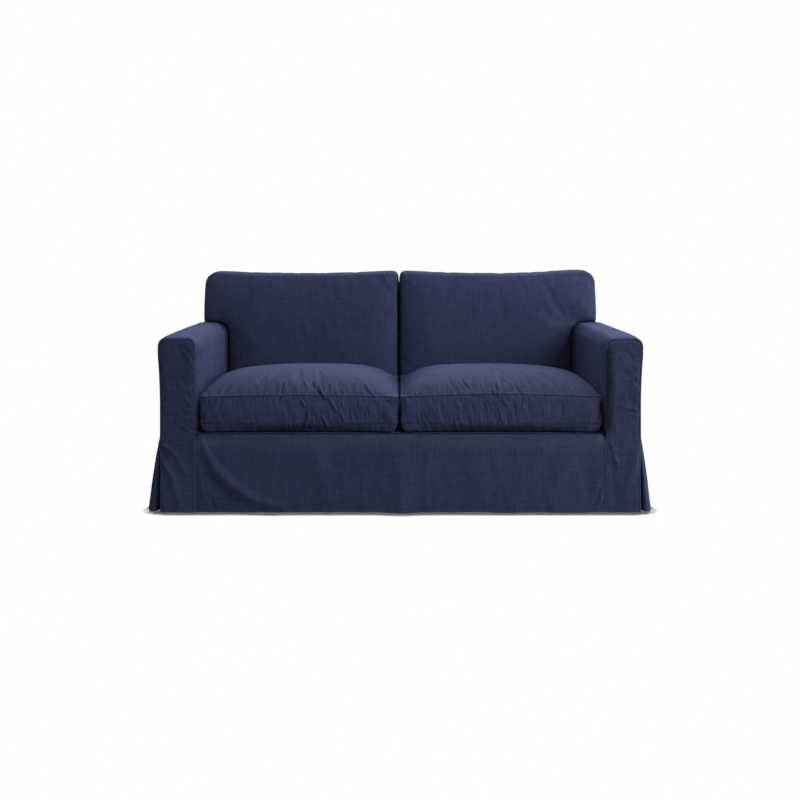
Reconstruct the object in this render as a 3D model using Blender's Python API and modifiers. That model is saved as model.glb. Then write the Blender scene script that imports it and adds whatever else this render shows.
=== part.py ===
"""Slipcover set for a two-seat sofa with square arms: a fitted body cover and four filled cushions.

Everything has the shape it takes when the cover is on: the front faces -Y, the hem lies at Z = 0
and the origin is under the middle of the cover. Left and right are as seen from the front, so
the left pieces are at -X. Sizes are in metres.
"""

import math
from collections import namedtuple

import bmesh
import bpy
from mathutils import Vector

# Body cover
ARM_SPAN = 1.80  # across the outer faces of the arms
INNER_SPAN = 1.531  # between the arms
COVER_DEPTH = 0.97  # arm fronts to outside back
ARM_TOP = 0.652
DECK_TOP = 0.297
BACK_TOP = 0.82  # of the border, behind the back cushions
BACK_THICKNESS = 0.135
BACK_CORNER = 0.040
ARM_CORNER = 0.021  # outer top edge, and inner top edge at the front
ARM_INNER_CORNER = 0.046  # inner top edge by the back cushions
RAIL_CORNER = 0.012
RAIL_LAP = 0.030  # of the front rail panel over the deck
SIDE_TUCK_IN = 0.007  # how far the sides draw in at half height
OUTER_SEAM = 0.630  # height of the seam along the outside of the arms
FRONT_DROP = 0.002  # from the arm tops to the top of the arm front panels

# Skirt
SLIT_TOP = 0.300
PLEAT_FLARE = 0.051
PLEAT_EASE = 0.7  # below 1 the pleats open fast under their tops
PLEAT_LEAD = 0.043  # the flared fold's distance behind the front panel, at the hem
PLEAT_TUCK = 0.024
HEM_FLARE = 0.014
FRONT_CREASE = 0.013  # the soft ridge down the middle of the front rail panel

# Cushions
SEAT_FRONT = 0.040  # behind the arm fronts
SEAT_SEAM = 0.428
SEAT_LOWER_SEAM = 0.324
SEAT_REAR = 0.596  # the back cushions stand on the deck behind it
SEAT_CROWN = 0.095
SEAT_CREST = 0.27  # the crown's highest line, behind the arm fronts
SEAT_CORNER = 0.032
SEAT_BULGE = 0.006
CENTRE_GAP = 0.004
BACK_FRONT = 0.605  # the back cushions' foremost point, behind the arm fronts
BACK_CUSHION_TOP = 0.883
BACK_CUSHION_END = 0.876  # half width over the arms
END_SPLAY = 0.004  # how much wider the ends are at the arm than at the top
BACK_BULGE = 0.007  # of the boxing between its seams
BACK_CROWN = 0.026
BACK_SAG = 0.012  # of the top edge between its corners
BACK_CORNER_OUTER = 0.057  # top, over the arm
BACK_CORNER_INNER = 0.030  # top and bottom, by the centre gap
BACK_CORNER_LOW = 0.016  # lower corners by the arm
NOTCH_FILLET = 0.030

# Cloth
CLOTH = 0.002
SEAM_GAP = 0.0003

FRONT_Y = -COVER_DEPTH / 2
BACK_Y = COVER_DEPTH / 2
ARM_HALF = ARM_SPAN / 2
INNER_HALF = INNER_SPAN / 2
BACK_HALF = ARM_HALF - 0.002
SIDES = {"left": -1, "right": 1}
JOIN = CLOTH + SEAM_GAP  # from a panel's outer face to the next panel's edge
INSIDE_BACK_Y = BACK_Y - BACK_THICKNESS

# The right back cushion's outline along its seams; the boxing stands BACK_BULGE proud of it
CUSHION_START = CENTRE_GAP / 2 + BACK_BULGE
CUSHION_END = BACK_CUSHION_END - BACK_BULGE
CUSHION_TOP = BACK_CUSHION_TOP - BACK_BULGE
CUSHION_FOOT = DECK_TOP + SEAM_GAP + BACK_BULGE
NOTCH_X = INNER_HALF - 0.001 - BACK_BULGE
NOTCH_Z = ARM_TOP + SEAM_GAP + BACK_BULGE

# A fold runs from (x0, z0) to (x1, z1); a rise below zero is a trough.
Fold = namedtuple("Fold", "x0 z0 x1 z1 width rise")
RAIL_FOLDS = (
    Fold(-0.735, 0.275, -0.665, 0.170, 0.018, 0.007),
    Fold(-0.665, 0.170, -0.560, 0.085, 0.026, 0.007),
    Fold(-0.560, 0.085, -0.410, 0.030, 0.034, 0.005),
    Fold(-0.720, 0.200, -0.660, 0.075, 0.024, -0.005),
    Fold(-0.330, 0.260, -0.250, 0.000, 0.040, 0.004),
    Fold(0.270, 0.240, 0.330, 0.000, 0.040, 0.004),
    Fold(0.650, 0.250, 0.560, 0.040, 0.030, 0.005),
    Fold(0.700, 0.170, 0.740, 0.030, 0.020, -0.004),
)
ARM_FRONT_FOLDS = {
    "left": (
        Fold(-0.890, 0.250, -0.815, 0.050, 0.018, 0.006),
        Fold(-0.885, 0.190, -0.850, 0.030, 0.014, -0.004),
        Fold(-0.790, 0.420, -0.840, 0.330, 0.018, 0.003),
    ),
    "right": (
        Fold(0.890, 0.260, 0.830, 0.060, 0.018, 0.005),
        Fold(0.780, 0.230, 0.800, 0.040, 0.016, -0.004),
        Fold(0.885, 0.400, 0.820, 0.380, 0.014, 0.003),
    ),
}


def remove_all_objects():
    for existing in list(bpy.data.objects):
        bpy.data.objects.remove(existing, do_unlink=True)


def linen(name, colour):
    """A matt woven cloth in one dye."""
    material = bpy.data.materials.new(name)
    material.use_nodes = True
    shader = material.node_tree.nodes["Principled BSDF"]
    shader.inputs["Base Color"].default_value = (*colour, 1.0)
    shader.inputs["Roughness"].default_value = 0.9
    shader.inputs["Metallic"].default_value = 0.0
    material.diffuse_color = (*colour, 1.0)
    return material


def steps(low, high, count):
    """Evenly spaced stations from low to high."""
    return [low + (high - low) * index / count for index in range(count + 1)]


def eased(count):
    """Stations from -1 to 1 that crowd towards both ends."""
    return [math.sin(math.pi / 2 * station) for station in steps(-1.0, 1.0, count)]


def smooth(value):
    """A soft step from 0 to 1."""
    value = min(max(value, 0.0), 1.0)
    return value * value * (3.0 - 2.0 * value)


def relief(folds, x, z):
    """Height of the soft ridges and troughs at a point."""
    point = Vector((x, z))
    height = 0.0
    for fold in folds:
        start = Vector((fold.x0, fold.z0))
        run = Vector((fold.x1, fold.z1)) - start
        along = min(max((point - start).dot(run) / run.length_squared, 0.0), 1.0)
        distance = (point - start - run * along).length
        height += fold.rise * math.exp(-((distance / fold.width) ** 2))
    return height


def add_object(name, grid, material, collection):
    """Turn a closed bmesh into a named, smooth-shaded object with its faces pointing out."""
    if grid.calc_volume(signed=True) < 0.0:
        bmesh.ops.reverse_faces(grid, faces=grid.faces)
    mesh = bpy.data.meshes.new(name)
    grid.to_mesh(mesh)
    grid.free()
    mesh.materials.append(material)
    mesh.shade_smooth()
    mesh.set_sharp_from_angle(angle=math.radians(40))
    panel = bpy.data.objects.new(name, mesh)
    collection.objects.link(panel)
    return panel


def index_grid(columns, rows):
    """A grid primitive whose vertices stand at whole column and row numbers."""
    grid = bmesh.new()
    bmesh.ops.create_grid(grid, x_segments=columns, y_segments=rows, size=0.5)
    for vertex in grid.verts:
        column = round((vertex.co.x + 0.5) * columns)
        row = round((vertex.co.y + 0.5) * rows)
        vertex.co = (column, row, 0.0)
    return grid


def cut_away(grid, unwanted):
    """Delete the cells whose middle (column, row) is unwanted."""
    cells = [face for face in grid.faces if unwanted(*face.calc_center_median().xy)]
    bmesh.ops.delete(grid, geom=cells, context="FACES")


def sheet(name, columns, rows, place, look, flip=False, unwanted=None):
    """A cloth panel: a grid laid through place(column, row), thickened away from its outer face."""
    material, collection = look
    grid = index_grid(len(columns) - 1, len(rows) - 1)
    if unwanted:
        cut_away(grid, lambda i, j: unwanted(columns[int(i)], rows[int(j)]))
    for vertex in grid.verts:
        vertex.co = place(columns[round(vertex.co.x)], rows[round(vertex.co.y)])
    if flip:
        bmesh.ops.reverse_faces(grid, faces=grid.faces)
    mesh = bpy.data.meshes.new(name)
    grid.to_mesh(mesh)
    grid.free()
    mesh.materials.append(material)
    mesh.shade_smooth()
    panel = bpy.data.objects.new(name, mesh)
    collection.objects.link(panel)
    thickness = panel.modifiers.new("Cloth", "SOLIDIFY")
    thickness.thickness = CLOTH
    thickness.offset = -1.0
    thickness.use_even_offset = True
    return panel


def filled(name, columns, rows, layers, place, look, unwanted=None):
    """A filled cushion: a grid raised layer by layer, laid through place(column, row, layer, rim)."""
    material, collection = look
    grid = index_grid(len(columns) - 1, len(rows) - 1)
    if unwanted:
        cut_away(grid, lambda i, j: unwanted(columns[int(i)], rows[int(j)]))
    faces = list(grid.faces)
    for level in range(1, len(layers)):
        raised = bmesh.ops.extrude_face_region(grid, geom=faces)["geom"]
        if level > 1:
            bmesh.ops.delete(grid, geom=faces, context="FACES")
        verts = [item for item in raised if isinstance(item, bmesh.types.BMVert)]
        faces = [item for item in raised if isinstance(item, bmesh.types.BMFace)]
        bmesh.ops.translate(grid, verts=verts, vec=(0.0, 0.0, 1.0))
    bmesh.ops.recalc_face_normals(grid, faces=grid.faces)
    rim = {vertex for vertex in grid.verts if any(abs(face.normal.z) < 0.5 for face in vertex.link_faces)}
    for vertex in grid.verts:
        column, row, layer = (round(value) for value in vertex.co)
        vertex.co = place(columns[column], rows[row], layers[layer], vertex in rim)
    return add_object(name, grid, material, collection)


def arc(centre, radius, start, end, count):
    """Points on an arc in a section, angles in degrees."""
    points = []
    for angle in steps(math.radians(start), math.radians(end), count):
        points.append(Vector((centre[0] + radius * math.cos(angle), centre[1] + radius * math.sin(angle))))
    return points


def side_half(z):
    """Half width of the body cover at a height: the sides draw in below the arm tops."""
    return ARM_HALF - SIDE_TUCK_IN * smooth((0.62 - z) / 0.22) + 0.003 * smooth((0.33 - z) / 0.33)


def slit(z):
    """How far the pleats have opened at a height: 0 at the slit's top, 1 at the hem."""
    return max(0.0, 1.0 - z / SLIT_TOP)


def arm_front(side_name, look):
    """The panel over an arm's front, rounded at its top corners."""
    side = SIDES[side_name]
    top = ARM_TOP - FRONT_DROP
    heights = steps(0.0, SLIT_TOP, 7) + steps(SLIT_TOP, top - ARM_CORNER, 5)[1:]
    heights += [top - ARM_CORNER * (1.0 - math.sin(math.radians(angle))) for angle in (25, 50, 72, 90)]

    def place(across, z):
        outer = side_half(z)
        inner = INNER_HALF + SEAM_GAP - 0.003 * smooth((0.33 - z) / 0.33)
        round_in = max(0.0, z - (top - ARM_CORNER))
        corner = ARM_CORNER - math.sqrt(max(ARM_CORNER**2 - round_in**2, 0.0))
        x = side * (inner + corner + (outer - inner - 2 * corner) * across)
        swell = relief(ARM_FRONT_FOLDS[side_name], x, z) * slit(z * 0.5)
        edge = math.sin(math.pi * across) ** 0.5 if 0.0 < across < 1.0 else 0.0
        return Vector((x, FRONT_Y - swell * edge - 0.004 * slit(z), z))

    return sheet(f"arm_front_{side_name}", steps(0.0, 1.0, 9), heights, place, look, flip=side < 0)


def arm_inside(side_name, look):
    """The panel up an arm's inner face and over its top, in one piece."""
    side = SIDES[side_name]
    seat_side = steps(DECK_TOP - 0.010, DECK_TOP, 1) + steps(DECK_TOP, 0.60, 3)[1:]
    turn_in = list(steps(0.0, 1.0, 5))
    sections = [("face", z) for z in seat_side] + [("inner", t) for t in turn_in]
    sections += [("crest", t) for t in (0.33, 0.67)] + [("outer", t) for t in steps(0.0, 1.0, 4)]
    sections.append(("seam", 0.0))
    front = FRONT_Y + JOIN
    depths = [front, front + 0.03, front + 0.08, front + 0.16]
    depths += steps(depths[-1], INSIDE_BACK_Y - SEAM_GAP, 5)[1:]

    def place(y, section):
        kind, t = section
        opened = smooth((y - front) / 0.12)
        inner = ARM_CORNER + (ARM_INNER_CORNER - ARM_CORNER) * opened
        outer = ARM_CORNER
        if kind == "face":
            x, z = INNER_HALF, t
        elif kind == "inner":
            angle = math.radians(180 - 90 * t)
            x = INNER_HALF + inner + inner * math.cos(angle)
            z = ARM_TOP - inner + inner * math.sin(angle)
        elif kind == "crest":
            low = INNER_HALF + inner
            high = ARM_HALF - outer
            x, z = low + (high - low) * t, ARM_TOP
        elif kind == "outer":
            angle = math.radians(90 - 90 * t)
            x = ARM_HALF - outer + outer * math.cos(angle)
            z = ARM_TOP - outer + outer * math.sin(angle)
        else:
            x, z = ARM_HALF, OUTER_SEAM + SEAM_GAP
        return Vector((side * x, y, z))

    return sheet(f"arm_inside_{side_name}", depths, sections, place, look, flip=side > 0)


def arm_outside(side_name, look):
    """The panel down an arm's outer side, with a kick pleat turned in at its front and back."""
    side = SIDES[side_name]
    heights = steps(0.0, SLIT_TOP, 7) + steps(SLIT_TOP, OUTER_SEAM, 5)[1:]
    # Stations run round the front pleat (0 to 1), along the side (1 to 2) and round the back pleat (2 to 3)
    half = steps(0.0, 1.0, 3) + [1.03, 1.07, 1.13, 1.21, 1.31, 1.42, 1.5]
    stations = half + [3.0 - station for station in reversed(half[:-1])]
    front = FRONT_Y + JOIN
    back = BACK_Y - JOIN

    def place(station, z):
        opened = slit(z)
        flared = opened**PLEAT_EASE
        mirrored = station > 1.5
        along = 3.0 - station if mirrored else station
        lead = 0.028 + (PLEAT_LEAD - 0.028) * opened
        body = side_half(z)
        if along < 1.0:
            x = body - PLEAT_TUCK * opened + (PLEAT_TUCK * opened + PLEAT_FLARE * flared) * along
            depth = 0.004 * opened * (1.0 - along) + lead * along
        else:
            reach = along - 1.0
            depth = lead + (COVER_DEPTH - 2 * JOIN - 2 * lead) * reach
            fade = HEM_FLARE + (PLEAT_FLARE - HEM_FLARE) * math.exp(-((reach / 0.13) ** 2))
            x = body + fade * flared
        y = back - depth if mirrored else front + depth
        return Vector((side * x, y, z))

    return sheet(f"arm_outside_{side_name}", stations, heights, place, look, flip=side < 0)


def front_rail(look):
    """The panel from the deck's front edge to the hem, with its ridge and folds."""
    half = INNER_HALF - 0.0035
    columns = [-half, -0.735, -0.705, -0.675, -0.645, -0.610, -0.575, -0.535, -0.490, -0.440, -0.380]
    columns += [-0.330, -0.285, -0.240, -0.180, -0.120, -0.075, -0.040, -0.018, 0.0]
    columns += [-x for x in reversed(columns[:-1])]
    rows = [(0.0, z) for z in steps(0.0, DECK_TOP - RAIL_CORNER, 9)]
    for point in arc((RAIL_CORNER, DECK_TOP - RAIL_CORNER), RAIL_CORNER, 180, 90, 4)[1:]:
        rows.append((point.x, point.y))
    rows.append((RAIL_LAP, DECK_TOP))

    def place(x, row):
        depth, z = row
        loose = smooth((DECK_TOP - 0.010 - z) / 0.10)
        crease = FRONT_CREASE * slit(z) * max(0.0, 1.0 - abs(x) / 0.16) ** 2
        edge = smooth((half - abs(x)) / 0.04)
        swell = relief(RAIL_FOLDS, x, z) * loose * edge + 0.004 * slit(z)
        return Vector((x, FRONT_Y + depth - crease - swell, z))

    return sheet("front_rail", columns, rows, place, look)


def seat_deck(look):
    """The flat panel under the seat cushions."""
    half = INNER_HALF - SEAM_GAP
    depths = steps(FRONT_Y + RAIL_LAP + SEAM_GAP, INSIDE_BACK_Y - SEAM_GAP, 2)
    return sheet("seat_deck", steps(-half, half, 4), depths, lambda x, y: Vector((x, y, DECK_TOP)), look)


def back_outline(z):
    """Half width of the back at a height, rounded at its top corners."""
    rise = max(0.0, z - (BACK_TOP - BACK_CORNER))
    return BACK_HALF - (BACK_CORNER - math.sqrt(max(BACK_CORNER**2 - rise**2, 0.0)))


def corner_heights(top):
    """Heights that step round the back's top corners."""
    return [top - BACK_CORNER * (1.0 - math.sin(math.radians(angle))) for angle in (0, 25, 50, 72, 90)]


def inside_back(look):
    """The T-shaped panel behind the back cushions, its ends over the arms."""
    seat_half = INNER_HALF - SEAM_GAP
    ledge = ARM_TOP + SEAM_GAP
    columns = [-BACK_HALF, -seat_half, -0.4, 0.0, 0.4, seat_half, BACK_HALF]
    rows = [DECK_TOP - 0.010, ledge] + corner_heights(BACK_TOP)

    def place(x, z):
        if abs(x) > seat_half:
            x = math.copysign(back_outline(z), x)
        return Vector((x, INSIDE_BACK_Y, z))

    def unwanted(column, row):
        return row < ledge and (column < -seat_half or column >= seat_half)

    return sheet("inside_back", columns, rows, place, look, unwanted=unwanted)


def back_border(look):
    """The strip up one end of the back, over its top and down the other end."""
    corner = (BACK_HALF - BACK_CORNER, BACK_TOP - BACK_CORNER)
    half = [Vector((BACK_HALF, OUTER_SEAM + SEAM_GAP)), Vector((BACK_HALF, 0.70))]
    half += arc(corner, BACK_CORNER, 0, 90, 5)
    half.append(Vector((0.45, BACK_TOP)))
    path = half + [Vector((0.0, BACK_TOP))] + [Vector((-point.x, point.y)) for point in reversed(half)]
    depths = steps(INSIDE_BACK_Y + JOIN, BACK_Y - JOIN, 2)
    return sheet("back_border", depths, path, lambda y, point: Vector((point.x, y, point.y)), look)


def outside_back(look):
    """The panel from the back's top to the hem."""
    heights = steps(0.0, SLIT_TOP, 5) + [0.42, 0.54, OUTER_SEAM, 0.71] + corner_heights(BACK_TOP)

    def place(across, z):
        half = back_outline(z) if z > OUTER_SEAM else side_half(z)
        crease = 0.006 * slit(z) * math.cos(3 * math.pi * across) ** 2
        return Vector((half * across, BACK_Y + crease + 0.004 * slit(z), z))

    return sheet("outside_back", steps(-1.0, 1.0, 12), heights, place, look, flip=True)


def round_corner(x, y, half_x, half_y, radius):
    """Move a point of a rectangle so that the rectangle's corners become round."""
    past_x = abs(x) - (half_x - radius)
    past_y = abs(y) - (half_y - radius)
    if past_x > 0.0 and past_y > 0.0:
        shrink = max(past_x, past_y) / math.hypot(past_x, past_y)
        x = math.copysign(half_x - radius + past_x * shrink, x)
        y = math.copysign(half_y - radius + past_y * shrink, y)
    return x, y


def seat_profile(depth):
    """The crown's share at a distance behind the arm fronts: full at its crest, none at its seams."""
    if depth < SEAT_CREST:
        return math.sqrt(max(0.0, 1.0 - ((SEAT_CREST - depth) / (SEAT_CREST - SEAT_FRONT)) ** 2.4))
    return math.sqrt(max(0.0, 1.0 - ((depth - SEAT_CREST) / (SEAT_REAR - SEAT_CREST)) ** 1.8))


def seat_cushion(side_name, look):
    """A boxed cushion with a high crown, its crest forward of the middle."""
    side = SIDES[side_name]
    half_x = (INNER_HALF - 0.0012 - CENTRE_GAP / 2) / 2 - SEAT_BULGE
    middle_x = CENTRE_GAP / 2 + half_x + SEAT_BULGE
    half_y = (SEAT_REAR - SEAT_FRONT) / 2
    middle_y = FRONT_Y + (SEAT_REAR + SEAT_FRONT) / 2
    floor = DECK_TOP + SEAM_GAP
    # (outward offset, height) of each layer from the bottom to the top seam
    layers = [(-0.022, floor), (-0.006, floor + 0.008), (0.0, SEAT_LOWER_SEAM)]
    layers += [(SEAT_BULGE, (SEAT_LOWER_SEAM + SEAT_SEAM) / 2), (0.0, SEAT_SEAM)]

    def place(across, along, layer, rim):
        offset, z = layer
        x, y = round_corner(
            across * (half_x + offset),
            along * (half_y + offset),
            half_x + offset,
            half_y + offset,
            SEAT_CORNER + offset,
        )
        if layer == layers[-1] and not rim:
            crown = math.sqrt(max(0.0, 1.0 - abs(across) ** 2.6))
            z += SEAT_CROWN * crown * seat_profile(middle_y + y - FRONT_Y)
        return Vector((side * (middle_x + x), middle_y + y, z))

    return filled(f"seat_cushion_{side_name}", eased(14), eased(14), layers, place, look)


def box_depth(x, z, low, high, radius):
    """Depth of a point inside a rounded rectangle, below zero outside it."""
    centre = (low + high) / 2
    half = (high - low) / 2
    past_x = abs(x - centre.x) - half.x + radius
    past_z = abs(z - centre.y) - half.y + radius
    outside = math.hypot(max(past_x, 0.0), max(past_z, 0.0))
    return radius - outside - min(max(past_x, past_z), 0.0)


def cushion_depth(x, z):
    """Depth of a point inside the back cushion's L-shaped outline, x away from the middle."""
    far = 1.0  # past the outline, where another rectangle bounds it
    low_x, low_z = CUSHION_START - far, NOTCH_Z - far
    high_x, high_z = CUSHION_END + far, CUSHION_TOP + far
    body = box_depth(x, z, Vector((low_x, CUSHION_FOOT)), Vector((NOTCH_X, high_z)), BACK_CORNER_LOW)
    wing = box_depth(x, z, Vector((low_x, NOTCH_Z)), Vector((CUSHION_END, high_z)), BACK_CORNER_LOW)
    mix = max(NOTCH_FILLET - abs(body - wing), 0.0) / NOTCH_FILLET
    union = max(body, wing) + mix * mix * NOTCH_FILLET * 0.25
    inner = box_depth(x, z, Vector((CUSHION_START, CUSHION_FOOT)), Vector((high_x, CUSHION_TOP)), BACK_CORNER_INNER)
    outer = box_depth(x, z, Vector((low_x, low_z)), Vector((CUSHION_END, CUSHION_TOP)), BACK_CORNER_OUTER)
    return min(union, inner, outer)


def to_outline(x, z, depth):
    """Slide a point along the slope of cushion_depth until it lies at a depth."""
    nudge = 0.0005
    for _ in range(6):
        here = cushion_depth(x, z)
        slope_x = (cushion_depth(x + nudge, z) - cushion_depth(x - nudge, z)) / (2 * nudge)
        slope_z = (cushion_depth(x, z + nudge) - cushion_depth(x, z - nudge)) / (2 * nudge)
        steep = max(slope_x**2 + slope_z**2, 0.25)
        x += (depth - here) * slope_x / steep
        z += (depth - here) * slope_z / steep
    return x, z


def back_cushion(side_name, look):
    """A boxed L-shaped cushion: its outer end lies over the arm top."""
    side = SIDES[side_name]
    columns = [CUSHION_START + (NOTCH_X - CUSHION_START) * (0.5 + 0.5 * station) for station in eased(11)]
    columns += [NOTCH_X + (CUSHION_END - NOTCH_X) * part for part in (0.12, 0.28, 0.58, 0.84, 1.0)]
    rows = steps(CUSHION_FOOT, NOTCH_Z - 0.034, 4) + [NOTCH_Z - 0.015, NOTCH_Z]
    rows += [NOTCH_Z + (CUSHION_TOP - NOTCH_Z) * part for part in (0.07, 0.17, 0.36, 0.58, 0.80, 0.94, 1.0)]
    front_seam = FRONT_Y + BACK_FRONT + BACK_CROWN
    rear = INSIDE_BACK_Y - SEAM_GAP - 0.004
    # (outward offset, y) of each layer from the rear face to the front seam
    layers = [(-0.012, rear), (0.0, rear - 0.012), (BACK_BULGE, (rear + front_seam) / 2), (0.0, front_seam)]

    def unwanted(column, row):
        return column >= NOTCH_X and row < NOTCH_Z

    def place(x, z, layer, rim):
        offset, y = layer
        if rim:
            x, z = to_outline(x, z, -offset)
        elif layer == layers[-1]:
            inside = min(cushion_depth(x, z) / 0.17, 1.0)
            y -= BACK_CROWN * math.sqrt(max(0.0, 1.0 - (1.0 - inside) ** 2.2))
        middle = 2.0 * x / BACK_CUSHION_END - 1.0
        lift = smooth((z - 0.70) / (BACK_CUSHION_TOP - 0.70))
        splay = END_SPLAY * smooth((x - 0.78) / (CUSHION_END - 0.78)) * (1.0 - 2.0 * lift)
        return Vector((side * (x + splay), y, z - BACK_SAG * lift * (1.0 - middle**2)))

    return filled(f"back_cushion_{side_name}", columns, rows, layers, place, look, unwanted)


def build():
    remove_all_objects()
    collection = bpy.data.collections.new("Sofa slipcover")
    bpy.context.scene.collection.children.link(collection)
    body = (linen("Body cover linen", (0.032, 0.038, 0.088)), collection)
    cushion = (linen("Cushion cover linen", (0.036, 0.043, 0.096)), collection)
    for side_name in SIDES:
        arm_front(side_name, body)
        arm_inside(side_name, body)
        arm_outside(side_name, body)
        seat_cushion(side_name, cushion)
        back_cushion(side_name, cushion)
    front_rail(body)
    seat_deck(body)
    inside_back(body)
    back_border(body)
    outside_back(body)


build()
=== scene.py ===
"""Looks of a slipcover set for a two-seat sofa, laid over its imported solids.

Each operator lays one group of pieces: the panels of the body cover with their seams, hems,
pleats and creases, and the filled cushions, stuffed by a cloth simulation. The front faces -Y,
the hem lies at Z = 0 and sizes are in metres. Left pieces are at -X.
"""

import math
import random
from collections import namedtuple

import bmesh
import bpy
import numpy as np
from bpy.props import FloatProperty, FloatVectorProperty, PointerProperty
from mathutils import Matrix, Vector, noise


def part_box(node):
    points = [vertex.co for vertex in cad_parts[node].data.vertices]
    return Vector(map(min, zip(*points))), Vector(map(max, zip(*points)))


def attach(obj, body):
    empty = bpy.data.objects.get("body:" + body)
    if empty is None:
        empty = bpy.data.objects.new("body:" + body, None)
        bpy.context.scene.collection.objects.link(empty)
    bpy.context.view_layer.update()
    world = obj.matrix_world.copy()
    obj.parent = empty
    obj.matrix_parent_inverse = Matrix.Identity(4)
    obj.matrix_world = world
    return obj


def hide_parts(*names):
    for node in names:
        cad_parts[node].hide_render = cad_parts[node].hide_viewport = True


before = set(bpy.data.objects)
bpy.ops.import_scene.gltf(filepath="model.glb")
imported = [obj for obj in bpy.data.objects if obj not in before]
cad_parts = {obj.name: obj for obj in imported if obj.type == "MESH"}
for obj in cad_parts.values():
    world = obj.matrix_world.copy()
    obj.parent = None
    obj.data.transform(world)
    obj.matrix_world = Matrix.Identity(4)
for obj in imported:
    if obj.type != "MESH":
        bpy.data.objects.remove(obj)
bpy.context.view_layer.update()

bl_info = {
    "name": "Sofa slipcover",
    "version": (1, 0, 0),
    "blender": (4, 5, 0),
    "location": "View3D > Sidebar > Slipcover",
    "description": "Lays the linen panels and cushions of a two-seat slipcover set",
    "category": "Object",
}

SIDES = {"left": -1, "right": 1}

# Cloth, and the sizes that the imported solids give
CLOTH = 0.002
SEAM_GAP = 0.0003
JOIN = CLOTH + SEAM_GAP
ARM_LOW, ARM_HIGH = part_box("arm_inside_right")
INNER_HALF = ARM_LOW.x
ARM_HALF = ARM_HIGH.x
ARM_TOP = ARM_HIGH.z
FRONT_Y = ARM_LOW.y - JOIN
INSIDE_BACK_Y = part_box("inside_back")[0].y
BACK_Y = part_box("back_border")[1].y + JOIN
BACK_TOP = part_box("back_border")[1].z
BACK_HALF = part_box("back_border")[1].x
DECK_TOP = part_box("seat_deck")[1].z
COVER_DEPTH = BACK_Y - FRONT_Y

# Body cover
BACK_CORNER = 0.040
ARM_CORNER = 0.030  # outer top edge at the front
ARM_REAR_CORNER = 0.022  # outer top edge behind the front
ARM_EDGE = 0.024  # inner top edge at the front
ARM_DOME = 0.0015  # of the arm tops between their rounded edges
ARM_SWELL = 0.004  # of the arm tops behind their fronts
OUTER_ROLL = 0.0020  # of the arm fronts' outer edges
OUTER_SEAM = 0.620
SIDE_SWELL = 0.003  # of the arms under their tops
SWELL_HEIGHT = 0.600
SIDE_TUCK_IN = 0.0055
SIDE_TUCK = (0.62, 0.40)  # heights where the sides start to draw in, and where they have
SIDE_SPREAD = 0.003  # outwards, of the sides at the hem
DECK_DIP = 0.0075  # of the deck under the cushions' front edges
RAIL_CORNER = 0.007
RAIL_LAP = 0.030
RAIL_SPREAD = 0.003  # inwards, of the rail's seams at the hem
RAIL_END_SINK = 0.010  # of the rail's upper corners
ALLOWANCE = 0.009  # of the rail's seams, turned in

# Skirt
SKIRT_TOP = 0.33
SLIT_TOP = 0.300
PLEAT_FLARE = 0.051
PLEAT_EASE = 0.7
PLEAT_LEAD = 0.028  # depth of the side's front edge above the pleat
FRONT_TUCK = 0.005  # of the arm fronts' outer edges at the skirt, inwards
SKIRT_TUCK = (0.26, 0.14)  # heights between which it sets in
SKIRT_LEAN = 0.004  # outwards, of the front and back panels at the hem
HEM_FLARE = 0.014
HEM_LIFT = 0.0045  # of the hem over the floor, more or less
HEM_CURL = 0.006  # of the hem at a pleat's outer fold
HEM_DEPTH = 0.011
FRONT_CREASE = 0.013  # the soft ridge down the middle of the front rail
# Round a pleat at the hem: the share of the way round it, out from the side, behind the panel before it
PleatPoint = namedtuple("PleatPoint", "way out behind")
PLEAT = (
    PleatPoint(0.00, -0.026, 0.008),
    PleatPoint(0.18, -0.006, 0.028),
    PleatPoint(0.30, 0.005, 0.030),
    PleatPoint(0.42, 0.011, 0.015),
    PleatPoint(0.55, 0.019, 0.007),
    PleatPoint(0.72, 0.033, 0.010),
    PleatPoint(0.87, 0.046, 0.021),
    PleatPoint(1.00, 0.051, 0.043),
)

# Seat cushions
SEAT_FRONT = 0.040
SEAT_REAR = 0.596
SEAT_SEAM = 0.425
SEAT_LOWER_SEAM = 0.324
SEAT_SIDE_GAP = 0.0040
SEAT_CENTRE_GAP = 0.006
SEAT_CORNER = 0.006
SEAT_LOW_CORNER = 0.030  # of the outline seen from the front
SEAT_BULGE = 0.003
SEAT_CROWN = 0.084
SEAT_CREST = 0.27
# How the crown rises from its inner (False) and outer (True) end: power, and sharpness at the edge
CROWN_SHAPE = {False: (4.5, 0.92), True: (2.4, 0.45)}
END_DROP = 0.12  # of the crowns' inner ends, as a share of their rise
REAR_DROOP = 0.006  # of the seats' rear inner corners
SEAT_DRIFT = -0.0040  # of the gap between the seats, sideways

# Back cushions
CENTRE_GAP = 0.004
BACK_FRONT = 0.605
BACK_CUSHION_TOP = 0.883
BACK_CUSHION_END = 0.876
END_SPLAY = 0.004
BACK_BULGE = 0.007
BACK_CROWN = 0.026
BACK_SAG = 0.014
BACK_CORNER_OUTER = 0.051
BACK_CORNER_INNER = 0.021
BACK_CORNER_LOW = 0.006
NOTCH_FILLET = 0.063
BACK_DRIFT = -0.0050  # of the gap between the backs, sideways
ARM_REST = 0.001  # of their seams from the arms
CLEARANCE = 0.0008  # between their cloth and the arms
CUSHION_START = CENTRE_GAP / 2 + BACK_BULGE
CUSHION_END = BACK_CUSHION_END - BACK_BULGE
CUSHION_TOP = BACK_CUSHION_TOP - BACK_BULGE
CUSHION_FOOT = DECK_TOP + SEAM_GAP + BACK_BULGE
NOTCH_X = INNER_HALF - ARM_REST
NOTCH_Z = ARM_TOP + ARM_REST

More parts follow.
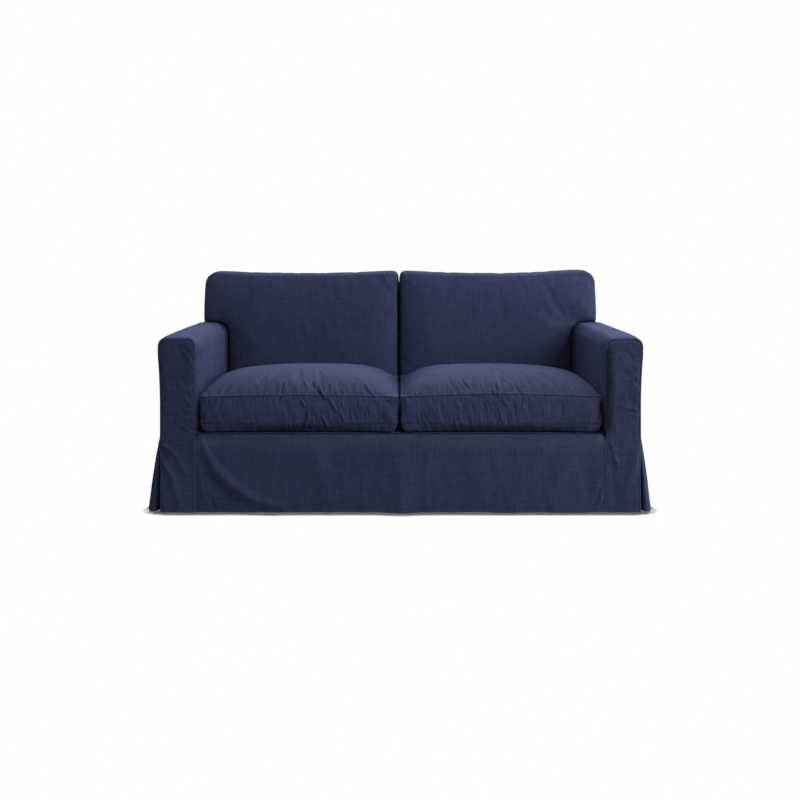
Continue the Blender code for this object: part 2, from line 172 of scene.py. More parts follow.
# Stuffing
CUSHION_SPARE = 0.008  # how far a cushion may leave its solid's box
BACK_WRINKLES = 0.35  # of the back cushions, as a share of their simulation's
SWELLING_ROUNDS = 60  # of averaging, which leave only the even swelling of a stuffed cushion
STUFFING_FRAMES = 20

# Where a sewn edge's welt and its row of stitches lie, in from the edge
WELT_LINE = 0.0025
STITCH_LINE = 0.0065

# Wear and painted light: rubs make the cloth paler, shades darker. First the strength of one unit of each.
PLAIN_PALENESS = 0.22
RUB_AND_LIGHT_PALENESS = 0.16
SHADE_DARKNESS = 0.34
SHADE_COLOUR = (0.004, 0.005, 0.012, 1.0)
# Then the rubs: painted highlights on the hems' folds and on the welts, which are also worn, painted light
# on the arm, rail and seat tops, and painted shade over the arm fronts. And the shades: painted shade and
# painted shadow at the arms' edges and faces, in grooves, gaps and corners, on ledges, round and under
# cushions.
HEM_WEAR_AND_HIGHLIGHT = 0.8
ARM_TOP_PAINTED_LIGHT = {"left": 0.9, "right": 0.0}
ARM_FRONT_PAINTED_SHADE = -0.25
ARM_LINE_SHADE = 1.2  # of the arm fronts' outermost line
ARM_LOW_SHADE = 1.6  # of the inner faces beside the seats
ARM_FACE_SHADE = 0.15  # of the inner faces below their tops
ARM_HIDDEN_SHADE = 3.0  # of the arm tops behind the back cushions' fronts
RAIL_WELT_WEAR_AND_HIGHLIGHT = 0.3
RAIL_TOP_PAINTED_LIGHT = 0.8
RAIL_LEDGE_SHADE = 3.0
RAIL_END_SHADE = 1.5
SEAT_TOP_PAINTED_LIGHT = 0.7
SEAT_WELT_WEAR_AND_HIGHLIGHT = (0.2, 2.0)  # all round, and more along the front
SEAT_GROOVE_SHADE = 1.6
SEAT_SIDE_SHADE = 2.4  # of the boxing's ends
SEAT_REAR_SHADE = 0.7  # of the rear inner corners
SEAT_FOOT_SHADE = 2.5
BACK_BOXING_SHADE = 1.5
BACK_OUTLINE_SHADE = (0.7, 1.2)  # all round, and more where it lies by an arm

# What differs from arm to arm: the inner top edge by the back cushions, the roll of the front's inner edge
# and its reach, the pleats' flare, and the share of the inner welt that shows. Then the front panel's
# painted light at its inner edge, its paleness low down and its painted shade at its inner and outer edges,
# and the painted shade of the inner face, all over and behind its front edge, with the reach of that.
ArmSide = namedtuple(
    "ArmSide",
    "inner_corner roll roll_reach flare inner_welt inner_rub low_rub inner_shade outer_shade "
    "face_shade edge_shade edge_reach",
)
ARM_SIDES = {
    "left": ArmSide(
        inner_corner=0.056, roll=0.0020, roll_reach=0.010, flare=0.97, inner_welt=0.4,
        inner_rub=0.9, low_rub=0.6, inner_shade=0.25, outer_shade=0.8,
        face_shade=0.0, edge_shade=2.3, edge_reach=0.085,
    ),
    "right": ArmSide(
        inner_corner=0.046, roll=0.0050, roll_reach=0.018, flare=0.86, inner_welt=0.1,
        inner_rub=0.0, low_rub=0.0, inner_shade=2.2, outer_shade=0.0,
        face_shade=0.6, edge_shade=1.5, edge_reach=0.06,
    ),
}
# And from seat to seat: the arch of the front seam between its ends, the taper of the outer end towards
# the front, the painted light on that end and how far, and the painted shade on the crown's inner end
SeatSide = namedtuple("SeatSide", "arch taper end_rub rub_reach end_shade")
SEAT_SIDES = {
    "left": SeatSide(arch=0.0050, taper=0.0035, end_rub=1.2, rub_reach=0.014, end_shade=0.0),
    "right": SeatSide(arch=0.0095, taper=0.0005, end_rub=4.5, rub_reach=0.040, end_shade=0.8),
}
# And from back cushion to back cushion: the lift of the top edge by the outer corner, and the painted
# lightness, which is painted shade where it is below zero
BackSide = namedtuple("BackSide", "lift rub")
BACK_SIDES = {"left": BackSide(lift=0.0, rub=0.07), "right": BackSide(lift=0.0060, rub=-0.06)}

# Meshes: distances from a sewn edge, and heights above a hem, where they are fine
SEAM_STEPS = (0.0, 0.0015, 0.003, 0.0045, 0.006, 0.0075, 0.0095, 0.012)
HEM_STEPS = (0.0, 0.002, 0.005, 0.008, 0.0095, 0.011, 0.0125, 0.015, 0.019)
ARM_TOP_STEPS = (
    0.0265, 0.0230, 0.0195, 0.0165, 0.0140, 0.0115, 0.0095, 0.0075,
    0.0060, 0.0045, 0.0030, 0.0018, 0.0009, 0.0003, 0.0,
)
EDGE_STEPS = (0.0, 0.004, 0.010)  # inside a cushion's seams
CROWN_STEPS = (0.0, 0.0003, 0.0016, 0.0052, 0.0125)  # the same on the seats, where the crown is steep
TURNED = -9.0  # the station of a seam allowance, turned in beside the first or last column
PANEL_PITCH = 0.0050
SIDE_PITCH = 0.011
REAR_PITCH = 0.018
CUSHION_PITCH = 0.0105
SEAT_PITCH = 0.0052  # across the seat cushions, for their upright puckers

# A crease runs from (a0, b0) to (a1, b1) in elevation; a rise below zero is a trough.
Crease = namedtuple("Crease", "a0 b0 a1 b1 width rise")
RAIL_CREASES = (
    Crease(-0.748, 0.288, -0.715, 0.215, 0.010, 0.007),
    Crease(-0.715, 0.215, -0.685, 0.162, 0.014, 0.009),
    Crease(-0.685, 0.162, -0.620, 0.103, 0.017, 0.011),
    Crease(-0.620, 0.103, -0.548, 0.054, 0.019, 0.011),
    Crease(-0.548, 0.054, -0.420, 0.012, 0.020, 0.008),
    Crease(-0.742, 0.200, -0.700, 0.110, 0.018, -0.008),
    Crease(-0.705, 0.120, -0.610, 0.030, 0.022, -0.009),
    Crease(-0.752, 0.285, -0.728, 0.262, 0.0045, 0.0035),
    Crease(-0.748, 0.262, -0.733, 0.240, 0.0040, -0.0030),
    Crease(-0.745, 0.110, -0.715, 0.045, 0.010, 0.004),
    Crease(-0.715, 0.070, -0.690, 0.020, 0.008, -0.003),
    Crease(-0.330, 0.260, -0.250, 0.000, 0.040, 0.004),
    Crease(0.270, 0.240, 0.330, 0.000, 0.040, 0.004),
    Crease(0.480, 0.120, 0.380, 0.020, 0.030, 0.005),
    Crease(0.650, 0.210, 0.520, 0.030, 0.026, 0.005),
    Crease(0.700, 0.170, 0.690, 0.030, 0.020, -0.004),
    Crease(0.756, 0.100, 0.728, 0.020, 0.007, 0.004),
    Crease(0.745, 0.140, 0.722, 0.085, 0.005, 0.003),
    Crease(0.740, 0.085, 0.722, 0.030, 0.0045, -0.003),
    Crease(0.748, 0.288, 0.722, 0.262, 0.005, 0.0035),
)
ARM_FRONT_CREASES = {
    "left": (
        Crease(-0.893, 0.262, -0.840, 0.222, 0.0075, 0.0065),
        Crease(-0.840, 0.222, -0.800, 0.150, 0.0120, 0.0045),
        Crease(-0.893, 0.205, -0.845, 0.130, 0.0085, 0.0055),
        Crease(-0.845, 0.130, -0.822, 0.030, 0.0120, 0.0060),
        Crease(-0.880, 0.150, -0.858, 0.030, 0.0100, -0.0050),
        Crease(-0.893, 0.235, -0.862, 0.195, 0.0050, -0.0035),
        Crease(-0.820, 0.615, -0.802, 0.545, 0.0080, -0.0034),
        Crease(-0.806, 0.618, -0.776, 0.575, 0.0050, -0.0026),
        Crease(-0.800, 0.600, -0.774, 0.548, 0.0050, 0.0022),
        Crease(-0.826, 0.525, -0.786, 0.505, 0.0060, 0.0020),
        Crease(-0.832, 0.490, -0.790, 0.455, 0.0080, 0.0018),
        Crease(-0.806, 0.440, -0.780, 0.395, 0.0050, 0.0018),
        Crease(-0.828, 0.372, -0.786, 0.345, 0.0060, 0.0024),
        Crease(-0.822, 0.338, -0.772, 0.296, 0.0070, 0.0030),
        Crease(-0.800, 0.330, -0.768, 0.300, 0.0045, -0.0024),
    ),
    "right": (
        Crease(0.890, 0.260, 0.830, 0.060, 0.0180, 0.0050),
        Crease(0.780, 0.270, 0.806, 0.170, 0.0070, 0.0030),
        Crease(0.776, 0.235, 0.795, 0.150, 0.0050, -0.0020),
        Crease(0.774, 0.300, 0.800, 0.250, 0.0050, 0.0020),
        Crease(0.784, 0.190, 0.800, 0.040, 0.0120, -0.0040),
        Crease(0.804, 0.402, 0.886, 0.378, 0.0065, 0.0034),
        Crease(0.830, 0.388, 0.886, 0.366, 0.0065, -0.0034),
        Crease(0.850, 0.374, 0.892, 0.356, 0.0050, 0.0024),
        Crease(0.868, 0.512, 0.892, 0.494, 0.0050, 0.0026),
        Crease(0.864, 0.500, 0.888, 0.484, 0.0040, -0.0022),
        Crease(0.866, 0.440, 0.888, 0.418, 0.0050, 0.0024),
        Crease(0.842, 0.600, 0.866, 0.560, 0.0080, -0.0018),
        Crease(0.820, 0.585, 0.838, 0.535, 0.0080, 0.0015),
    ),
}
SEAT_CREASING = 1.35  # on the rises of the seats' creases
SEAT_CREASES = {
    "left": (
        Crease(-0.4440, 0.473, -0.4505, 0.434, 0.0036, -0.0060),
        Crease(-0.4540, 0.474, -0.4590, 0.436, 0.0036, 0.0022),
        Crease(-0.4510, 0.427, -0.4600, 0.401, 0.0036, -0.0040),
        Crease(-0.3362, 0.473, -0.3243, 0.455, 0.0045, -0.0055),
        Crease(-0.3165, 0.452, -0.2926, 0.425, 0.0040, -0.0060),
        Crease(-0.2926, 0.425, -0.2870, 0.408, 0.0036, -0.0045),
        Crease(-0.3050, 0.454, -0.2830, 0.424, 0.0040, 0.0035),
        Crease(-0.3693, 0.478, -0.3476, 0.458, 0.0040, 0.0028),
        Crease(-0.3938, 0.465, -0.3859, 0.445, 0.0036, 0.0028),
        Crease(-0.3716, 0.414, -0.3547, 0.384, 0.0036, 0.0038),
        Crease(-0.3810, 0.410, -0.3640, 0.380, 0.0036, -0.0028),
        Crease(-0.3453, 0.352, -0.3577, 0.310, 0.0034, 0.0044),
        Crease(-0.3540, 0.358, -0.3660, 0.316, 0.0036, -0.0034),
        Crease(-0.2907, 0.352, -0.2738, 0.314, 0.0036, 0.0038),
        Crease(-0.3000, 0.350, -0.2840, 0.316, 0.0036, -0.0026),
        Crease(-0.2700, 0.425, -0.2362, 0.369, 0.0042, 0.0038),
        Crease(-0.2800, 0.419, -0.2480, 0.362, 0.0040, -0.0028),
        Crease(-0.2286, 0.376, -0.2098, 0.335, 0.0040, 0.0028),
        Crease(-0.1330, 0.464, -0.0943, 0.427, 0.0042, 0.0036),
        Crease(-0.0970, 0.417, -0.0857, 0.406, 0.0036, 0.0028),
        Crease(-0.0518, 0.410, -0.0405, 0.395, 0.0036, -0.0034),
        Crease(-0.3450, 0.314, -0.3440, 0.298, 0.0050, -0.0045),
        Crease(-0.3180, 0.310, -0.3170, 0.298, 0.0045, -0.0030),
        Crease(-0.2860, 0.314, -0.2850, 0.298, 0.0050, -0.0045),
    ),
    "right": (
        Crease(0.2338, 0.478, 0.2580, 0.453, 0.0045, -0.0048),
        Crease(0.2230, 0.480, 0.2460, 0.454, 0.0042, 0.0026),
        Crease(0.3579, 0.470, 0.3654, 0.446, 0.0040, -0.0058),
        Crease(0.3680, 0.450, 0.3720, 0.420, 0.0036, 0.0056),
        Crease(0.3425, 0.444, 0.3496, 0.428, 0.0036, -0.0036),
        Crease(0.3744, 0.414, 0.3974, 0.385, 0.0038, -0.0044),
        Crease(0.3840, 0.420, 0.4060, 0.388, 0.0038, 0.0034),
        Crease(0.3907, 0.490, 0.4211, 0.464, 0.0040, 0.0026),
        Crease(0.4070, 0.485, 0.4330, 0.456, 0.0036, 0.0022),
        Crease(0.4599, 0.494, 0.4895, 0.476, 0.0040, 0.0026),
        Crease(0.4394, 0.454, 0.4579, 0.430, 0.0036, -0.0036),
        Crease(0.5042, 0.428, 0.5087, 0.414, 0.0034, -0.0030),
        Crease(0.3771, 0.369, 0.3790, 0.335, 0.0034, 0.0030),
        Crease(0.2080, 0.412, 0.2240, 0.378, 0.0040, 0.0024),
        Crease(0.2640, 0.408, 0.2760, 0.368, 0.0040, -0.0026),
        Crease(0.3210, 0.400, 0.3330, 0.362, 0.0040, 0.0024),
        Crease(0.4220, 0.406, 0.4380, 0.372, 0.0040, -0.0024),
        Crease(0.4600, 0.396, 0.4720, 0.366, 0.0040, 0.0020),
    ),
}
BACK_CREASES = {
    "left": (
        Crease(-0.055, 0.868, -0.030, 0.835, 0.006, 0.0022),
        Crease(-0.075, 0.872, -0.062, 0.842, 0.005, 0.0018),
        Crease(-0.760, 0.690, -0.640, 0.560, 0.030, 0.0030),
    ),
    "right": (
        Crease(0.585, 0.690, 0.690, 0.620, 0.016, 0.0020),
        Crease(0.640, 0.700, 0.720, 0.640, 0.012, -0.0014),
    ),
}
# Puckers scattered between (a0, b0) and (a1, b1): how many, their lean, reach, width and rise
Scatter = namedtuple("Scatter", "seed count a0 a1 b0 b1 lean reach width rise")
SEAT_PUCKERS = {
    "left": (
        Scatter(11, 44, -0.46, -0.04, 0.335, 0.415, 0.22, 0.045, 0.0040, 0.0024),
        Scatter(12, 16, -0.72, -0.46, 0.360, 0.420, 0.08, 0.030, 0.0044, 0.0011),
        Scatter(13, 26, -0.47, -0.10, 0.430, 0.475, 0.30, 0.028, 0.0040, 0.0021),
        Scatter(14, 8, -0.755, -0.71, 0.415, 0.440, 0.50, 0.014, 0.0034, 0.0022),
    ),
    "right": (
        Scatter(21, 46, 0.06, 0.46, 0.335, 0.415, 0.20, 0.040, 0.0040, 0.0021),
        Scatter(22, 14, 0.46, 0.72, 0.350, 0.420, 0.12, 0.030, 0.0044, 0.0012),
        Scatter(23, 32, 0.18, 0.52, 0.430, 0.490, 0.45, 0.030, 0.0040, 0.0021),
        Scatter(24, 9, 0.012, 0.065, 0.415, 0.440, 0.50, 0.014, 0.0034, 0.0024),
        Scatter(25, 8, 0.69, 0.745, 0.415, 0.440, 0.50, 0.014, 0.0034, 0.0020),
    ),
}
RAIL_PUCKERS = (
    Scatter(31, 12, -0.755, -0.700, 0.200, 0.285, 0.60, 0.022, 0.0045, 0.0016),
    Scatter(32, 14, 0.715, 0.755, 0.030, 0.270, -0.70, 0.022, 0.0045, 0.0016),
    Scatter(33, 30, -0.70, 0.70, 0.040, 0.230, 0.08, 0.110, 0.0140, 0.0011),
)
ARM_FRONT_PUCKERS = {
    "left": (
        Scatter(41, 22, -0.800, -0.772, 0.520, 0.625, 0.90, 0.026, 0.0038, 0.0022),
        Scatter(42, 16, -0.804, -0.774, 0.330, 0.520, 1.00, 0.028, 0.0042, 0.0016),
        Scatter(46, 10, -0.890, -0.850, 0.060, 0.240, 0.45, 0.035, 0.0060, 0.0018),
        Scatter(47, 8, -0.888, -0.850, 0.380, 0.600, 0.60, 0.030, 0.0060, 0.0010),
    ),
    "right": (
        Scatter(43, 26, 0.772, 0.800, 0.120, 0.290, 0.80, 0.024, 0.0040, 0.0022),
        Scatter(44, 16, 0.862, 0.890, 0.350, 0.560, 1.20, 0.026, 0.0042, 0.0018),
        Scatter(45, 16, 0.776, 0.790, 0.520, 0.620, -2.20, 0.016, 0.0035, 0.0016),
        Scatter(48, 10, 0.800, 0.880, 0.420, 0.620, 0.50, 0.045, 0.0090, 0.0012),
    ),
}
BACK_PUCKERS = {
    "left": (
        Scatter(51, 10, -0.090, -0.012, 0.840, 0.868, 0.40, 0.018, 0.0040, 0.0015),
        Scatter(52, 8, -0.855, -0.790, 0.830, 0.860, -0.50, 0.018, 0.0040, 0.0013),
    ),
    "right": (
        Scatter(53, 8, 0.012, 0.080, 0.840, 0.868, 0.40, 0.018, 0.0040, 0.0014),
        Scatter(54, 12, 0.780, 0.850, 0.690, 0.860, -0.70, 0.026, 0.0055, 0.0012),
        Scatter(55, 8, 0.800, 0.858, 0.690, 0.860, -0.60, 0.018, 0.0040, 0.0012),
    ),
}

# Camera: the photograph is 800 pixels wide, and its scale is measured at the arm fronts
PICTURE_WIDTH = 800
FRONT_SCALE = 269.1  # pixels to a metre
CAMERA_DISTANCE = 3.19
CAMERA_HEIGHT = 0.993
CAMERA_X = -0.008
SENSOR = 36.0  # millimetres
SHIFT_RIGHT = 1.7  # pixels
SHIFT_DOWN = 154.0
FLOOR_SIZE = 60.0
FLOOR_Z = -0.0005
SHADOW_REACH = 0.035
Lamp = namedtuple("Lamp", "name setting size place target")
LAMPS = (
    Lamp("Overhead", "overhead", 3.0, (0.2, -0.4, 6.0), (0.0, 0.0, 0.3)),
    Lamp("Key", "key", 1.6, (2.6, -2.4, 2.6), (0.0, 0.0, 0.4)),
    Lamp("Side", "side", 1.4, (3.4, -0.6, 1.5), (0.0, 0.0, 0.5)),
    Lamp("Rear", "rear", 2.4, (0.3, 2.2, 4.6), (0.0, -0.2, 0.4)),
)


# ---------------------------------------------------------------- stations and shapes


def steps(low, high, count):
    """Evenly spaced stations from low to high."""
    return [low + (high - low) * index / count for index in range(count + 1)]


def pitched(low, high, pitch):
    """Even stations about a pitch apart."""
    return steps(low, high, max(1, round((high - low) / pitch)))


def between_seams(low, high, pitch):
    """Stations about a pitch apart, closer over the seams at both ends."""
    reach = SEAM_STEPS[-1]
    start = [low + step for step in SEAM_STEPS]
    end = [high - step for step in reversed(SEAM_STEPS)]
    return start + pitched(low + reach, high - reach, pitch)[1:-1] + end


def above_hem(high, pitch):
    """Heights from the hem up to high, closer over the hem."""
    return list(HEM_STEPS) + pitched(HEM_STEPS[-1], high, pitch)[1:]


def smooth(value):
    """A soft step from 0 to 1, for a number or an array."""
    value = np.clip(value, 0.0, 1.0)
    return value * value * (3.0 - 2.0 * value)


def ramp(value, low, high):
    """A soft step from 0 at low to 1 at high, where low may be the greater."""
    return smooth((value - low) / (high - low))


def bell(value, middle, width):
    """A soft bump of height 1 round a middle."""
    return np.exp(-(((value - middle) / width) ** 2))


def arc(x, z, radius, degrees):
    """A point on a circle round (x, z), at an angle from +X to +Z."""
    turn = math.radians(degrees)
    return x + radius * math.cos(turn), z + radius * math.sin(turn)


def side_half(z):
    """Half width of the body cover at a height."""
    swell = SIDE_SWELL * bell(z, SWELL_HEIGHT, 0.055)
    return ARM_HALF + swell - SIDE_TUCK_IN * ramp(z, *SIDE_TUCK) + SIDE_SPREAD * ramp(z, SKIRT_TOP, 0.0)


def rail_seam(z):
    """Distance of the seam between rail and arm front from the middle, at a height."""
    return INNER_HALF - RAIL_SPREAD * ramp(z, SKIRT_TOP, 0.0)


def rounding(depth, radius):
    """How far a rounded corner's edge lies inside the square one, at a depth below its top."""
    return radius - math.sqrt(max(radius**2 - max(0.0, radius - depth) ** 2, 0.0))


def edge_roll(side_name, x):
    """How far an arm panel's front edge is rolled, at a distance from the middle."""
    return OUTER_ROLL + (ARM_SIDES[side_name].roll - OUTER_ROLL) * ramp(x, ARM_HALF, ARM_HALF - 0.04)


def unrolled(side_name, x, distance):
    """How far a rolled edge lies under its panel's face, at a distance from the edge."""
    reach = ARM_SIDES[side_name].roll_reach
    return edge_roll(side_name, x) * np.clip(1.0 - distance / reach, 0.0, 1.0) ** 2


def slit(z):
    """How far the pleats have opened at a height: 0 at the slit's top, 1 at the hem."""
    return np.maximum(0.0, 1.0 - z / SLIT_TOP)


def box_depth(x, z, low, high, radius):
    """Depth of a point inside a rounded rectangle, below zero outside it."""
    past_x = abs(x - (low[0] + high[0]) / 2) - (high[0] - low[0]) / 2 + radius
    past_z = abs(z - (low[1] + high[1]) / 2) - (high[1] - low[1]) / 2 + radius
    outside = np.hypot(np.maximum(past_x, 0.0), np.maximum(past_z, 0.0))
    return radius - outside - np.minimum(np.maximum(past_x, past_z), 0.0)


def scattered(groups):
    """Small creases at seeded places, each leaning a little differently."""
    creases = []
    for group in groups:
        draw = random.Random(group.seed)
        for _ in range(group.count):
            a = draw.uniform(group.a0, group.a1)
            b = draw.uniform(group.b0, group.b1)
            reach = group.reach * draw.uniform(0.5, 1.4)
            lean = group.lean + draw.uniform(-0.25, 0.25)
            run_b = reach / math.sqrt(1.0 + lean**2)
            rise = group.rise * draw.uniform(0.4, 1.2) * draw.choice((-1, 1, 1))
            width = group.width * draw.uniform(0.7, 1.4)
            creases.append(Crease(a, b, a + lean * run_b, b - run_b, width, rise))
    return creases


def relief(creases, a, b):
    """Height of the creases at each point (a, b) of a piece, fading towards their ends."""
    height = np.zeros(len(a))
    for crease in creases:
        run_a = crease.a1 - crease.a0
        run_b = crease.b1 - crease.b0
        length = run_a**2 + run_b**2
        along = np.clip(((a - crease.a0) * run_a + (b - crease.b0) * run_b) / length, 0.0, 1.0)
        off_a = a - crease.a0 - run_a * along
        off_b = b - crease.b0 - run_b * along
        taper = 1.0 - 0.6 * (2.0 * along - 1.0) ** 2
        height += crease.rise * taper * np.exp(-(off_a**2 + off_b**2) / crease.width**2)
    return height


def ripples(points, sizes, seed):
    """Smooth noise from about -1 to 1 whose waves have a size along each axis."""
    scaled = points / np.array(sizes) + seed * 7.31
    return np.array([noise.noise(Vector(point)) for point in scaled])


def waves(points, *layers):
    """Soft unevenness: layers of ripples, each with its (rise, sizes, seed)."""
    return sum(rise * ripples(points, sizes, seed) for rise, sizes, seed in layers)


def welt(distance, rise):
    """A sewn edge: a ridge over the seam allowance, then the stitched groove inside it."""
    return rise * (bell(distance, WELT_LINE, 0.0022) - 0.8 * bell(distance, STITCH_LINE, 0.0014))


def hem(z, rise):
    """A turned hem: twice as thick below its row of stitches."""
    return rise * (ramp(z, HEM_DEPTH + 0.0005, HEM_DEPTH - 0.001) - bell(z, HEM_DEPTH, 0.0012))


def hem_wear_and_highlight(above):
    """How much paler a hem is along its fold, at a height above it: worn, with a painted highlight."""
    return HEM_WEAR_AND_HIGHLIGHT * bell(above, 0.002, 0.003)


# ---------------------------------------------------------------- meshes


def index_grid(columns, rows):
    """A grid whose vertices stand at whole column and row numbers."""
    grid = bmesh.new()
    bmesh.ops.create_grid(grid, x_segments=columns, y_segments=rows, size=0.5)
    for vertex in grid.verts:
        column = round((vertex.co.x + 0.5) * columns)
        row = round((vertex.co.y + 0.5) * rows)
        vertex.co = (column, row, 0.0)
    return grid


def cut_away(grid, unwanted):
    """Delete the cells whose middle (column, row) is unwanted."""
    cells = [face for face in grid.faces if unwanted(*face.calc_center_median().xy)]
    bmesh.ops.delete(grid, geom=cells, context="FACES")


def to_object(name, grid, finish):
    """Turn a bmesh into a smooth-shaded object with a finish."""
    mesh = bpy.data.meshes.new(name)
    grid.to_mesh(mesh)
    grid.free()
    mesh.materials.append(finish)
    mesh.shade_smooth()
    piece = bpy.data.objects.new(name, mesh)
    bpy.context.scene.collection.objects.link(piece)
    return piece


def read_points(mesh):
    """The vertices' places, one row each."""
    values = np.empty(len(mesh.vertices) * 3)
    mesh.vertices.foreach_get("co", values)
    return values.reshape(-1, 3)


def read_normals(mesh):
    """The vertices' normals, one row each."""
    values = np.empty(len(mesh.vertices) * 3)
    mesh.vertex_normals.foreach_get("vector", values)
    return values.reshape(-1, 3)


def write_points(mesh, points):
    mesh.vertices.foreach_set("co", points.ravel())
    mesh.update()


def set_mask(mesh, name, values):
    """Store a number for each vertex, for the finish to read."""
    mask = mesh.attributes.get(name) or mesh.attributes.new(name, "FLOAT", "POINT")
    mask.data.foreach_set("value", np.asarray(values, dtype=np.float32))


def read_mask(mesh, name):
    values = np.empty(len(mesh.vertices))
    mesh.attributes[name].data.foreach_get("value", values)
    return values


def lay_panel(name, columns, rows, place, finish, flip=False, unwanted=None):
    """A cloth surface: a grid laid through place(column, row)."""
    grid = index_grid(len(columns) - 1, len(rows) - 1)
    if unwanted:
        cut_away(grid, lambda i, j: unwanted(columns[int(i)], rows[int(j)]))
    for vertex in grid.verts:
        vertex.co = place(columns[round(vertex.co.x)], rows[round(vertex.co.y)])
    if flip:
        bmesh.ops.reverse_faces(grid, faces=grid.faces)
    return to_object(name, grid, finish)


def emboss(piece, height, rubbed_and_lit, shaded):
    """Raise a piece's surface by a height at each vertex; mark wear, stitches, painted light and shade."""
    mesh = piece.data
    points = read_points(mesh) + read_normals(mesh) * np.asarray(height)[:, None]
    write_points(mesh, points)
    # welt: paler for wear and painted light; stitch: darker for stitches and painted shade
    set_mask(mesh, "welt", rubbed_and_lit)
    set_mask(mesh, "stitch", shaded)


def lift_hem(piece, seed):
    """Hang the hem a few millimetres clear of the floor, unevenly."""
    points = read_points(piece.data)
    level = points * (1.0, 1.0, 0.0)
    lift = HEM_LIFT + waves(level, (0.0028, (0.16, 0.16, 1.0), seed), (0.0012, (0.04, 0.04, 1.0), seed))
    points[:, 2] += lift * np.clip(1.0 - points[:, 2] / 0.15, 0.0, 1.0)
    write_points(piece.data, points)


def seam_relief(distance, points, sewing, seed):
    """Welt and small puckers along a sewn edge."""
    pucker = ripples(points, (0.010, 0.010, 0.010), seed) * np.exp(-np.abs(distance - 0.007) / 0.010)
    return welt(distance, sewing.welt_rise) + sewing.pucker_rise * pucker * ramp(distance, 0.0, 0.004)


def seam_masks(distance):
    """Where a sewn edge is worn paler, with a painted highlight, and where its stitches lie, in painted
    shade.
    """
    return bell(distance, WELT_LINE - 0.0005, 0.0030), bell(distance, STITCH_LINE, 0.0012)


def declare(piece, node):
    """Tie a piece to the node that it stands for."""
    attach(piece, "root")
    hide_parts(node)


def finish_panel(piece, node, height, rubbed_and_lit, shaded):
    """Give a panel its relief, wear, painted light and shade and cloth thickness, and tie it to its node."""
    emboss(piece, height, rubbed_and_lit, shaded)
    cloth = piece.modifiers.new("Cloth", "SOLIDIFY")
    cloth.thickness = CLOTH
    cloth.offset = -1.0
    declare(piece, node)


# ---------------------------------------------------------------- body cover


def arm_front(side_name, finish, sewing):
    """The panel over an arm's front, rounded at its top corners."""
    side = SIDES[side_name]
    arm = ARM_SIDES[side_name]
    top = ARM_TOP - OUTER_ROLL
    wide = ARM_HALF - INNER_HALF
    across = [TURNED] + [step / wide for step in between_seams(0.0, wide, PANEL_PITCH)]
    rows = above_hem(top - ARM_CORNER, PANEL_PITCH)
    rows += [top - step for step in ARM_TOP_STEPS]

    def edges(z):
        return rail_seam(z) + SEAM_GAP, side_half(z) - FRONT_TUCK * ramp(z, *SKIRT_TUCK)

    def place(share, z):
        inner, outer = edges(z)
        first, last = rounding(top - z, ARM_EDGE), rounding(top - z, ARM_CORNER)
        depth = 0.0
        if share == TURNED:
            share = 0.0
            depth = ALLOWANCE * ramp(z, DECK_TOP - 0.005, DECK_TOP - 0.025)
        x = inner + first + (outer - inner - first - last) * share
        z -= (edge_roll(side_name, x) - OUTER_ROLL) * ramp(z, top - 0.06, top)
        return side * x, FRONT_Y + depth - SKIRT_LEAN * slit(z), z

    piece = lay_panel(f"arm_front_cloth_{side_name}", across, rows, place, finish, flip=side < 0)
    above = read_points(piece.data)[:, 2]
    lift_hem(piece, 60 + side)
    points = read_points(piece.data)
    x, z = points[:, 0], points[:, 2]
    inner, outer = edges(z)
    from_inner, from_outer = side * x - inner, outer - side * x
    by_inner = box_depth(side * x, z, (inner, -1.0), (outer, top), ARM_EDGE)
    by_outer = box_depth(side * x, z, (inner, -1.0), (outer, top), ARM_CORNER)
    distance = np.where(from_inner < from_outer, by_inner, by_outer)
    height = relief(ARM_FRONT_CREASES[side_name], x, z) * ramp(distance, 0.0, 0.010)
    height += relief(scattered(ARM_FRONT_PUCKERS[side_name]), x, z) * ramp(distance, 0.0, 0.005)
    loose = waves(points, (0.0012, (0.07, 0.07, 0.20), 1 + side), (0.0005, (0.02, 0.02, 0.06), 2 + side))
    height += loose * ramp(distance, 0.0, 0.016)
    # The inner edge is rolled, not welted, and sewn flat to the rail below the deck
    inside = ramp(from_inner, 0.014, 0.008) * ramp(z, top - 0.030, top - 0.050)
    above_deck = ramp(z, DECK_TOP - 0.02, DECK_TOP) if side < 0 else 1.0
    shown = 1.0 - (1.0 - arm.inner_welt) * inside * above_deck
    height += seam_relief(distance, points, sewing, 3 + side) * shown + hem(above, sewing.hem_rise)
    free = np.where(inside > 0.0, ramp(z, DECK_TOP, DECK_TOP + 0.02), 1.0)
    height -= unrolled(side_name, side * x, distance) * free
    above_skirt = ramp(z, SKIRT_TOP, SKIRT_TOP + 0.05)
    rubbed_and_lit, stitched = seam_masks(distance)
    # The welt's and hem's wear and painted highlights, painted shade over the whole front, and paler low down
    rubbed_and_lit = rubbed_and_lit * shown + ARM_FRONT_PAINTED_SHADE + arm.low_rub * ramp(z, *SKIRT_TUCK) + hem_wear_and_highlight(above)
    # Painted light along the inner edge
    rubbed_and_lit += arm.inner_rub * ramp(from_inner, 0.03, 0.0) * above_skirt
    # Painted shade at the inner edge, over the outer part and along the outermost line
    shaded = arm.inner_shade * ramp(from_inner, 0.040, 0.012)
    shaded *= ramp(z, DECK_TOP - 0.02, DECK_TOP + 0.03) * ramp(z, top - 0.015, top - 0.055)
    shaded += arm.outer_shade * ramp(from_outer, 0.045, 0.005) * above_skirt
    shaded += ARM_LINE_SHADE * bell(from_outer, 0.0, 0.0025)
    finish_panel(piece, f"arm_front_{side_name}", height, rubbed_and_lit, stitched * shown + shaded)


